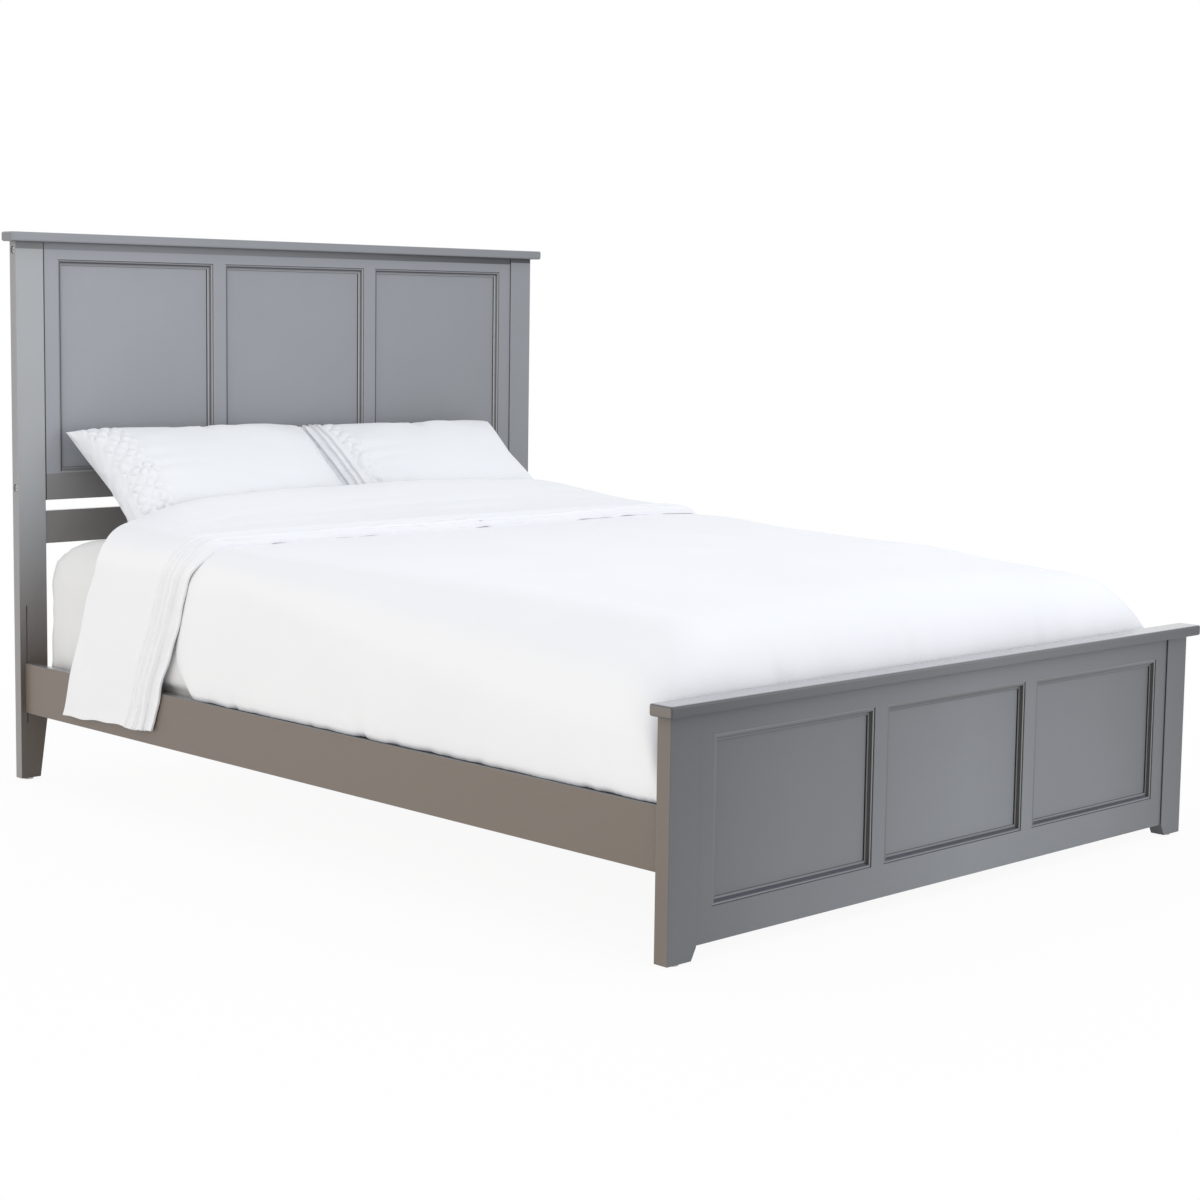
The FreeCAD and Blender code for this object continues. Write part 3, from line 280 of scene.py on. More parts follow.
paintTones = {
    # painted light and shade: under darkens faces that look down, low browns and darkens the headboard
    # posts near the floor, the near-black deep shade fills the hidden sides of the posts and the shadow
    # strips, the side and end tones paint warm or pale light on faces that look left or right, and capTop
    # paints the footboard cap's top paler and bluer; base and dark are the lacquer's own uneven tone, and
    # plain is a flat grey for other side faces
    "base": (0.200, 0.209, 0.226), "dark": (0.188, 0.196, 0.210), "under": (0.095, 0.093, 0.090),
    "low": (0.112, 0.092, 0.078), "crease": (0.014, 0.014, 0.016), "plain": (0.19, 0.19, 0.195),
    "footSide": (0.195, 0.160, 0.130), "footEnd": (0.20, 0.172, 0.152), "railSide": (0.193, 0.153, 0.121),
    "headSide": (0.30, 0.287, 0.285), "headEnd": (0.21, 0.21, 0.215),
    "capTop": (0.27, 0.275, 0.30),
    "roughness": 0.40, "halfBoard": 0.85, "mouldingWidth": 16,
    # painted light across each board, by distance from the middle in metres: brighter in the footboard's
    # middle and at the headboard's left end, and the headboard brighter than the footboard overall
    "paintedLightAcross": {
        "footboard": ((-0.8, 0.53), (-0.45, 0.75), (0.05, 0.95), (0.5, 0.78), (0.8, 0.52)),
        "headboard": ((-0.75, 1.54), (0.0, 1.31), (0.75, 1.18)),
        "side_rail": ((-0.8, 0.86), (0.8, 0.86)),
    },
    # by the start of a piece's name: its level for red, green and blue,
    # then the tones of its faces that look left and right; the levels paint light and shade, lighter on
    # the left headboard post and darker and browner on the caps and the headboard's lower rails, and the
    # side tones paint light and shade on faces by the way they look
    "pieces": {
        "footboard": ((1, 1, 1), "plain", "plain"),
        "footboard_cap": ((0.74, 0.74, 0.74), "footEnd", "footEnd"),
        "footboard_post_left": ((1, 1, 1), "footSide", "crease"),
        "footboard_post_right": ((1, 1, 1), "crease", "footSide"),
        "side_rail_left": ((1, 1, 1), "railSide", "plain"),
        "side_rail_right": ((1, 1, 1), "plain", "railSide"),
        "headboard": ((1, 1, 1), "plain", "plain"),
        "headboard_cap": ((0.86, 0.86, 0.86), "headEnd", "headEnd"),
        "headboard_post_left": ((1.18, 1.16, 1.11), "headSide", "crease"),
        "headboard_post_right": ((1, 1, 1), "crease", "headSide"),
        "headboard_bottom_rail": ((0.74, 0.69, 0.63), "plain", "plain"),
        "headboard_lower_rail": ((0.72, 0.665, 0.60), "plain", "plain"),
    },
    # painted shadows: piece, axis, metres from the piece's top or left end to the edge, tone; dark strips
    # painted where the cap casts shade on the top rail and posts, and where the left post shades the
    # rails and stile beside it
    "paintedShadows": (
        ("headboard_top_rail", "Z", -0.0158, (0.042, 0.042, 0.049)),
        ("headboard_top_rail", "X", 0.0042, "crease"),
        ("headboard_bottom_rail", "X", 0.0042, "crease"),
        ("headboard_stile_left", "X", 0.0042, "crease"),
        ("headboard_post_left", "Z", -0.0158, (0.16, 0.16, 0.165)),
        ("headboard_post_right", "Z", -0.0110, (0.04, 0.04, 0.046)),
    ),
    # painted shade and highlights across a moulding, from its outer edge in millimetres: tone from there
    # on, for each side; dark lines in its hollows and steps, pale lines on its flats
    "bands": {
        "footboard": {
            "left": (
                (0, (0.145, 0.148, 0.153)), (4.4, (0.13, 0.133, 0.138)), (10, (0.145, 0.148, 0.153)),
            ),
            "right": (
                (0, (0.003, 0.003, 0.004)), (2.1, (0.24, 0.238, 0.23)), (4.6, (0.085, 0.085, 0.087)),
                (9.4, (0.23, 0.227, 0.22)), (11.9, (0.002, 0.002, 0.003)),
            ),
            "bottom": (
                (0, (0.045, 0.047, 0.055)), (1.6, (0.20, 0.205, 0.22)), (4.3, (0.055, 0.062, 0.080)),
                (9.6, (0.20, 0.205, 0.215)), (13.1, (0.05, 0.052, 0.060)),
            ),
            "top": (
                (0, (0.24, 0.235, 0.21)), (1.5, (0.14, 0.145, 0.152)), (4.4, (0.11, 0.114, 0.122)),
                (10, (0.14, 0.145, 0.152)), (13.0, (0.09, 0.09, 0.095)),
            ),
        },
        "headboard": {
            "left": (
                (0, (0.22, 0.225, 0.24)), (3.6, (0.045, 0.047, 0.056)), (8.0, (0.25, 0.255, 0.27)),
            ),
            "right": (
                (0, (0.16, 0.16, 0.16)), (1.7, (0.31, 0.312, 0.315)), (4.4, (0.20, 0.198, 0.195)),
                (8.2, (0.45, 0.46, 0.475)), (12.2, (0.018, 0.018, 0.021)),
            ),
            "bottom": (
                (0, (0.24, 0.245, 0.25)), (1.6, (0.34, 0.34, 0.34)), (4.4, (0.22, 0.22, 0.225)),
                (10, (0.28, 0.28, 0.285)), (13.0, (0.08, 0.08, 0.085)),
            ),
            "top": (
                (0, (0.045, 0.047, 0.057)), (1.9, (0.20, 0.205, 0.22)), (4.4, (0.035, 0.037, 0.046)),
                (8.0, (0.20, 0.205, 0.22)), (11.0, (0.25, 0.255, 0.265)), (13.2, (0.07, 0.072, 0.080)),
            ),
        },
    },
}


def grainScale(grain, along, across):
    # noise scale per axis, low along the grain
    return [along if axis == grain else across for axis in "xyz"]


def lacquer(g, tone, grain, up):
    # satin lacquer with faint brushed grain and a clear sheen on what faces up
    stretch = grainScale(grain, 1.2, 26)
    fibres = g.noise(g.place(stretch), 5.0, 5.0, 0.6)
    speck = g.noise(g.place(), 340.0, 2.0, 0.5)
    cloud = g.noise(g.place(), 2.2, 3.0, 0.55)
    tone = g.mix(fibres.above(0.3, 0.75) * 0.10, tone, g.vector("MULTIPLY", tone, (0.9, 0.9, 0.9)))
    relief = g.bump(fibres * 0.45 + speck * 0.3, 0.0002, 0.4)
    return g.finish(baseColor=tone, roughness=paintTones["roughness"] + cloud * 0.06 + fibres * 0.04,
                    coatWeight=up.above(0.8, 0.97) * 0.85 + 0.12, coatRoughness=0.12, normal=relief)


def piecePaint(name, grain):
    tones = paintTones
    board = next(key for key in tones["paintedLightAcross"] if name.startswith(key))
    piece = max((key for key in tones["pieces"] if name.startswith(key)), key=len)
    level, left, right = tones["pieces"][piece]
    g = Graph("paint " + name.replace("_", " "))
    across, facing, up = (g.axis(g.facing(), axis) for axis in "XYZ")
    x, height = g.axis(g.place(), "X"), g.axis(g.place(), "Z")
    cloud = g.noise(g.place(), 2.2, 3.0, 0.55)
    tone = g.mix(cloud.above(0.3, 0.7), tones["dark"], tones["base"])
    # a ramp holds values up to 1, so the painted light is halved in it and doubled again after it
    half = tones["halfBoard"]
    stops = [((place + half) / (2 * half), [value * part / 2 for part in level])
             for place, value in tones["paintedLightAcross"][board]]
    paintedLightRamp = g.node("ShaderNodeValToRGB", {"stops": stops}, {"Fac": (x + half) / (2 * half)})
    tone = g.vector("MULTIPLY", g.vector("MULTIPLY", tone, paintedLightRamp), (2, 2, 2))
    if board == "footboard":
        # painted shade: a little darker towards the cap
        rise = 1.22 - height * 0.75
        grey = g.node("ShaderNodeCombineXYZ", None, {0: rise, 1: rise, 2: rise})
        tone = g.vector("MULTIPLY", tone, grey)
    if "headboard_post" in name:
        # painted shade: browner and darker towards the floor, in the shade of the bed
        tone = g.mix(1 - height.above(0.2, 0.72), tone, tones["low"])
    low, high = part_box(name)
    # painted shadows: dark strips on faces that look forward, where the cap and the posts cast shade
    for start, axis, depth, shadowTone in tones["paintedShadows"]:
        if name.startswith(start):
            spot = height if axis == "Z" else x
            edge = (high.z if axis == "Z" else low.x) + depth
            share = spot.above(edge - 0.0006, edge + 0.0006)
            if axis == "X":
                share = 1 - share
            elif "top_rail" in name:
                # the painted shadow is stronger towards the right end
                share = share * (x.above(-half, half) ** 2 * 0.55 + 0.42)
            tone = g.mix(share * (0 - facing).above(0.7, 0.9), tone, tones.get(shadowTone, shadowTone))
    # painted light and shade by the way a face looks: faces that look left or right take the piece's side
    # tones
    tone = g.mix((0 - across).above(0.75, 0.97) * 0.92, tone, tones[left])
    tone = g.mix(across.above(0.75, 0.97) * 0.92, tone, tones[right])
    # painted shade on faces that look down
    tone = g.mix((0 - up).above(0.6, 0.95), tone, tones["under"])
    # painted light: the top of the footboard cap paler and bluer
    if "footboard_cap" in name:
        tone = g.mix(up.above(0.7, 0.95), tone, tones["capTop"])
    return lacquer(g, tone, grain, up)


def mouldingPaint(name):
    low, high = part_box(name)
    g = Graph("paint " + name.replace("_", " "))
    x, height = g.axis(g.place(), "X"), g.axis(g.place(), "Z")
    up = g.axis(g.facing(), "Z")
    width = paintTones["mouldingWidth"]
    gaps = {"left": x - low.x, "right": high.x - x, "bottom": height - low.z, "top": high.z - height}
    nearest = g.math("MINIMUM", g.math("MINIMUM", gaps["left"], gaps["right"]),
                     g.math("MINIMUM", gaps["bottom"], gaps["top"]))
    # painted shade and highlights: bands of dark and pale tone across each side of the moulding, from its
    # nearest outer edge
    tone = paintTones["base"]
    for side, bands in paintTones["bands"][name.split("_")[0]].items():
        stops = [(0.0, bands[0][1])]
        for (_, before), (place, after) in zip(bands, bands[1:]):
            stops += [((place - 0.12) / width, before), ((place + 0.12) / width, after)]
        ramp = g.node("ShaderNodeValToRGB", {"stops": stops}, {"Fac": gaps[side] / (width / 1000)})
        tone = g.mix(1 - (gaps[side] - nearest).above(0.0, 0.0003), tone, ramp)
    return lacquer(g, tone, "x", up)


def bareWood(name, grain):
    # planed softwood: growth lines that wander along the piece
    g = Graph(name)
    stretch = grainScale(grain, 0.7, 17)
    coords = g.place(stretch)
    wander = g.noise(coords, 0.9, 3.0, 0.5)
    depth = g.axis(coords, "Y") + g.axis(coords, "X") + g.axis(coords, "Z")
    lines = ((depth + wander * 5.5) * 5.0).sine() * 0.5 + 0.5
    fibres = g.noise(g.place([v * 9 for v in stretch]), 2.0, 4.0, 0.6)
    tone = g.mix(lines ** 2.2 * 0.65 + fibres * 0.25, (0.62, 0.445, 0.27), (0.41, 0.25, 0.125))
    relief = g.bump(lines * 0.4 + fibres * 0.6, 0.0003, 0.5)
    return g.finish(baseColor=tone, roughness=0.55 + fibres * 0.15, normal=relief)


def zincSteel(name):
    g = Graph(name)
    cells = g.node("ShaderNodeTexVoronoi", None, {"Vector": g.place(), "Scale": 420.0})
    smear = g.noise(g.place(), 160.0, 3.0, 0.6)
    tone = g.mix(cells * 0.5 + smear * 0.5, (0.55, 0.55, 0.53), (0.72, 0.72, 0.70))
    return g.finish(baseColor=tone, metallic=1.0, roughness=0.28 + smear * 0.16,
                    normal=g.bump(smear, 0.0001, 0.4))


def plastic(name, colour, roughness):
    g = Graph(name)
    grain = g.noise(g.place(), 900.0, 2.0, 0.5)
    cloud = g.noise(g.place(), 60.0, 2.0, 0.5)
    tone = g.mix(cloud, [c * 0.93 for c in colour], colour)
    return g.finish(baseColor=tone, roughness=roughness + cloud * 0.06,
                    normal=g.bump(grain, 0.00008, 0.5))


def leveller(name):
    # moulded black disc below, plated stud above
    g = Graph(name)
    steel = g.axis(g.place(), "Z").above(0.0079, 0.0085)
    smear = g.noise(g.place(), 300.0, 3.0, 0.6)
    thread = (g.axis(g.place(), "Z") * (2 * math.pi / 0.00125)).sine()
    tone = g.mix(steel, (0.022, 0.022, 0.023), (0.6, 0.6, 0.58))
    return g.finish(baseColor=tone, metallic=steel, roughness=0.5 - steel * 0.2 + smear * 0.08,
                    normal=g.bump(thread * steel + smear * 0.3, 0.0003, 0.8))


def webbing(name):
    # plain weave, from one wave along the strap and one across it
    g = Graph(name)
    coords = g.place()
    warp = (g.axis(coords, "X") * (2 * math.pi / 0.0026)).sine()
    weft = (g.axis(coords, "Y") * (2 * math.pi / 0.0019)).sine()
    weave = warp * weft
    tone = g.mix(weave * 0.5 + 0.5, (0.60, 0.585, 0.54), (0.82, 0.80, 0.75))
    return g.finish(baseColor=tone, roughness=0.86, normal=g.bump(weave, 0.0004, 0.8))


def cotton(name, colour, shade, paintedTurns=None):
    # close plain weave: slubs, a soft nap and slight unevenness of tone
    g = Graph(name)
    if paintedTurns:
        # painted light and shade: the white is painted bluer on top, greyer where the cloth turns over
        # and warmer at the sides, by how far the surface faces sideways: the colour comes from these
        # painted tones, and the shade is a share of it
        across = g.axis(g.facing(), "X").size()
        colour = g.node("ShaderNodeValToRGB", {"stops": paintedTurns}, {"Fac": across})
        shade = g.vector("MULTIPLY", colour, shade)
    coords = g.place()
    slubA = g.noise(g.place((420, 26, 40)), 1.0, 3.0, 0.6)
    slubB = g.noise(g.place((26, 420, 420)), 1.0, 3.0, 0.6)
    nap = g.noise(coords, 1300.0, 2.0, 0.5)
    cloud = g.noise(coords, 3.5, 3.0, 0.55)
    tone = g.mix(cloud.above(0.3, 0.7) * 0.6 + (slubA + slubB) * 0.2, shade, colour)
    relief = g.bump(slubA * 0.5 + slubB * 0.5 + nap * 0.35, 0.00045, 0.55)
    return g.finish(baseColor=tone, roughness=0.86, normal=relief, sheenWeight=0.18, sheenRoughness=0.5)


woodAlong = {axis: bareWood("softwoodAlong" + axis.upper(), axis) for axis in "xyz"}
steel = zincSteel("zincSteel")
strapCloth = webbing("strapWebbing")
nylon = plastic("whiteNylon", (0.84, 0.84, 0.83), 0.24)
levellerMix = leveller("levellerPlasticAndSteel")
# painted light and shade on the duvet, by how far its surface faces sideways: bluer on top, greyer on the
# turn, warmer at the sides
duvetPaintedShades = (
    (0.12, (0.868, 0.873, 0.902)), (0.40, (0.838, 0.836, 0.862)), (0.72, (0.850, 0.846, 0.860)),
    (0.96, (0.896, 0.889, 0.884)),
)
duvetCotton = cotton("duvetCotton", None, (0.976, 0.976, 0.978), duvetPaintedShades)
pillowCotton = cotton("pillowCotton", (0.835, 0.842, 0.866), (0.81, 0.818, 0.844))
sheetCotton = cotton("sheetCotton", (0.80, 0.79, 0.78), (0.77, 0.76, 0.75))

# part of a name: material, or the way the grain runs under the paint; the first that fits counts
finishOf = {
    "screws": steel, "hook_plates": steel, "bolts": steel, "nuts": steel, "pins": steel,
    "glides": nylon, "leveller": levellerMix, "straps": strapCloth, "moulding": mouldingPaint,
    "cap": "x", "top_rail": "x", "bottom_rail": "x", "lower_rail": "x", "side_rail": "y",
    "post_": "z", "stile": "z", "mullion": "z", "panel": "z",
    "pegs": woodAlong["x"], "slats": woodAlong["x"], "centre_leg": woodAlong["z"],
    "cleat_left": woodAlong["y"], "cleat_right": woodAlong["y"], "centre_beam": woodAlong["y"],
}
soft = ("mattress", "duvet", "duvet_turndown", "pillow_left", "pillow_right")
for name, obj in nodes.items():
    if name in soft:
        continue
    finish = next((finishOf[key] for key in finishOf if key in name), None)
    if finish is None:
        raise RuntimeError("no finish for " + name)
    if finish is mouldingPaint:
        finish = mouldingPaint(name)
    elif isinstance(finish, str):
        finish = piecePaint(name, finish)
    dress(obj, finish)
print("stage: materials on the frame")


# bedding is worked out in millimetres from the footboard's front face, and placed last
footFront = cadBox[0][1] + 0.021


def inMetres(points):
    placed = np.array(points, float) / 1000
    placed[:, 1] += footFront
    return placed


duvet = {
    "halfWidth": 785, "hemZ": 275.9, "across": 156, "along": 132, "thick": 13,
    "headEnd": 1735, "footStart": 35, "footRound": 150, "footLow": 300,
    # the share of the rows that climbs the foot end, and the power of its rounding
    "climb": 0.17, "power": 2 / 2.7,
    "sidePuckers": 150, "footPuckers": 46, "footHem": 452,
    # distance from the footboard, then height at the edge and in the middle of the bed
    "tops": ((35, 566, 588), (184, 570, 596), (400, 580, 604), (560, 585, 606), (886, 592, 608),
             (1180, 598, 609), (1400, 600, 609), (1760, 600, 609)),
    # distance, then the width and height of the shoulder
    "shoulders": ((35, 215, 130), (60, 215, 170), (105, 215, 200), (236, 215, 205), (400, 205, 200),
                  (560, 185, 185), (752, 155, 155), (1001, 120, 120), (1236, 88, 88), (1760, 80, 80)),
    "pinchStart": 1418, "pinchEnd": 1492, "pinchIn": 34,
    # how far the head border of the hanging side bellies out, by height
    "belly": ((276, -20), (300, -12), (322, 4), (342, 18), (380, 21), (431, 11), (480, -4), (523, -14),
              (560, -20)),
}


def smoothTable(rows, place, reach, column=1):
    # reads a table at many places, averaged over a short reach so that it has no corners
    spots = place[:, None] + np.linspace(-reach, reach, 13)[None, :]
    fine = np.interp(spots, [row[0] for row in rows], [row[column] for row in rows])
    return fine.mean(axis=1)


def table(rows, y, column):
    return smoothTable(rows, y, 45, column)


def sectionPath(t, halfWidth, hemZ, top, middle, rx, rz, hemPull, bulge):
    # t runs from 0 at the hem to 1 at the middle of the bed;
    # gives the distance from the middle, and the height
    side = top - rz - hemZ
    turn = math.pi / 2 * np.sqrt((rx ** 2 + rz ** 2) / 2)
    flat = halfWidth - rx
    s = t * (side + turn + flat)
    angle = np.clip((s - side) / turn, 0, 1) * math.pi / 2
    x = np.where(s < side, halfWidth, halfWidth - rx + rx * np.cos(angle))
    z = np.where(s < side, hemZ + s, top - rz + rz * np.sin(angle))
    onTop = s > side + turn
    away = np.clip((s - side - turn) / flat, 0, 1)
    x = np.where(onTop, flat * (1 - away), x)
    z = np.where(onTop, top + (middle - top) * (1 - (1 - away) ** 2), z)
    x += bulge * np.sin(np.clip(s / (side + turn * 0.6), 0, 1) * math.pi)
    x -= hemPull * np.clip(1 - s / 30, 0, 1) ** 2
    return x, z


def quiltSection(d, y, rise, hem):
    # height at the edge and in the middle of the bed, then the shoulder's width and height
    low = d["footLow"]
    top, middle = (low + (table(d["tops"], y, column) - low) * rise for column in (1, 2))
    rx, rz = (table(d["shoulders"], y, column) for column in (1, 2))
    return top, middle, rx, np.minimum(rz, (top - hem) * 0.85)


def outward(obj, points):
    # sets the cloth's points, turns its faces up and gives the normals
    setCoordinates(obj.data, points)
    normals = vertexNormals(obj.data)
    if normals[np.argmax(points[:, 2])][2] < 0:
        obj.data.flip_normals()
        normals = vertexNormals(obj.data)
    return normals


def makeDuvet(d):
    bm = bmesh.new()
    bmesh.ops.create_grid(bm, x_segments=d["across"], y_segments=d["along"], size=1)
    obj = objectFrom(bm, "quilt")
    grid = coordinates(obj.data)
    u, v = grid[:, 0], (grid[:, 1] + 1) / 2
    # the first part of the rows climbs the foot end, the rest runs to the head
    theta = np.clip(v / d["climb"], 0, 1) * math.pi / 2
    rise = np.sin(theta) ** d["power"]
    y = d["footStart"] + d["footRound"] * (1 - np.clip(np.cos(theta), 0, 1) ** d["power"])
    past = np.clip((v - d["climb"]) / (1 - d["climb"]), 0, 1)
    y = y + (d["headEnd"] - d["footStart"] - d["footRound"]) * past
    hem = d["hemZ"] + 55 * smoothStep(y, d["pinchStart"] + 5, d["pinchEnd"]) ** 2
    top, middle, rx, rz = quiltSection(d, y, rise, hem)
    pinch = np.clip((y - d["pinchStart"]) / (d["pinchEnd"] - d["pinchStart"]), 0, 1)
    halfWidth = d["halfWidth"] - d["pinchIn"] * (1 - np.sqrt(np.clip(1 - pinch ** 2, 0, 1)))
    x, z = sectionPath(1 - np.abs(u), halfWidth, hem, top, middle, rx, rz, 6, 2.5)
    y = y + smoothTable(d["belly"], z, 14) * smoothStep(y, 1340, 1480) * smoothStep(x, 640, 740)
    points = np.stack([np.sign(u) * x, y, z], axis=1)
    normals = outward(obj, points)
    # soft unevenness of the filling, and short puckers that rise from the tucked hem
    height = z - hem
    lift = waves(points, (9, 620, 2.2, 3)) + waves(points, (8, 230, 0.9, 4))
    pucker = np.zeros(len(points))
    draw = np.random.default_rng(11)
    for _ in range(d["sidePuckers"]):
        centre = draw.uniform(40, 1420)
        width = draw.uniform(7, 20)
        reach = draw.uniform(18, 90)
        sideOf = draw.choice([-1, 1])
        lean = draw.uniform(-0.25, 0.25)
        near = bell(y - centre - lean * height, width) * bell(height, reach)
        pucker += near * draw.uniform(-2.6, 1.6) * (np.sign(u) == sideOf)
    low = np.clip(z - d["footHem"], 0, 400)
    for _ in range(d["footPuckers"]):
        centre = draw.uniform(-700, 700)
        width = draw.uniform(8, 22)
        reach = draw.uniform(20, 70)
        near = bell(np.sign(u) * x - centre, width) * bell(low, reach) * (y < 75)
        pucker += near * draw.uniform(-3.0, 1.0)
    calm = smoothStep(height, 0, 14) * 0.8 + 0.2
    points = points + normals * (lift * calm + pucker)[:, None]
    setCoordinates(obj.data, inMetres(points))
    solid = obj.modifiers.new("thickness", "SOLIDIFY")
    solid.thickness = d["thick"] / 1000
    solid.offset = -1
    applyModifiers(obj)
    return obj


def quiltRoof(d, x, y):
    # height of the quilt's upper surface over a place
    back = np.clip((y - d["footStart"]) / d["footRound"], 0, 1)
    rise = np.sin(np.arccos((1 - back) ** (1 / d["power"]))) ** d["power"]
    top, middle, rx, rz = quiltSection(d, y, rise, d["hemZ"])
    flat = d["halfWidth"] - rx
    over = np.clip((np.abs(x) - flat) / rx, 0, 1)
    crown = top + (middle - top) * (1 - np.minimum(np.abs(x) / flat, 1) ** 2)
    return np.where(np.abs(x) < flat, crown, top - rz + rz * np.sqrt(1 - over ** 2))


quilt = makeDuvet(duvet)
dress(quilt, duvetCotton)
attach(quilt, "bedding")
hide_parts("duvet")
print("stage: duvet")


turndown = {
    "across": 300, "width": 380, "thick": 15, "halfWidth": 795.5, "hemFoot": 192, "hemHead": 181,
    "top": 611, "middle": 619.5, "round": 82,
    # height on the hanging side, then the foot and head borders' distance from the footboard
    "borders": ((180, 1566, 1904), (215, 1550, 1893), (278, 1530, 1873), (345, 1501, 1845),
                (375, 1488, 1832), (465, 1447, 1800), (519, 1427, 1768), (559, 1408, 1757),
                (585, 1400, 1757), (612, 1390, 1768)),
    "borderMiddle": (1352, 1774),
    "settleTo": 80, "tuckFrom": 30, "tuckTo": 96, "tucks": 7, "tuckHeight": 3.7, "thinEdge": 0.34,
    # the share of the thickness that lies below the shaped surface
    "below": 0.6,
    # how high the folded end heaps up against the pillows, by distance from the middle
    "heap": ((-790, 0), (-735, 2), (-690, 14), (-620, 36), (-520, 52), (-330, 60), (-80, 62),
             (120, 66), (300, 62), (500, 56), (580, 42), (670, 24), (740, 6), (790, 0)),
    # share of the width from the foot border, then share of that height
    "heapProfile": ((0.0, 0.0), (0.3, 0.0), (0.45, 0.1), (0.6, 0.32), (0.75, 0.66), (0.87, 0.93),
                    (0.94, 1.0), (1.0, 0.9)),
}


def settle(obj, points, normals, across, filled, d):
    # how far the foot border must sink to rest on the quilt below it
    vertices, polygons = obj.data.vertices, obj.data.polygons
    tree = BVHTree.FromPolygons([v.co[:] for v in vertices], [p.vertices[:] for p in polygons])
    sink = np.zeros(len(points))
    placed = inMetres(points)
    for index in np.nonzero(across < d["settleTo"])[0]:
        place = Vector(placed[index])
        near = tree.find_nearest(place, 0.06)[0]
        if near is None:
            continue
        above = (place - near).dot(Vector(normals[index])) * 1000
        height = points[index][2]
        wanted = d["below"] * d["thick"] * filled[index] - 0.3 + 1.4 * smoothStep(600 - height, 0, 60)
        sink[index] = max(above - wanted, -2.0) * smoothStep(height, 500, 590)
    return sink * (1 - smoothStep(across, 12, d["settleTo"]))


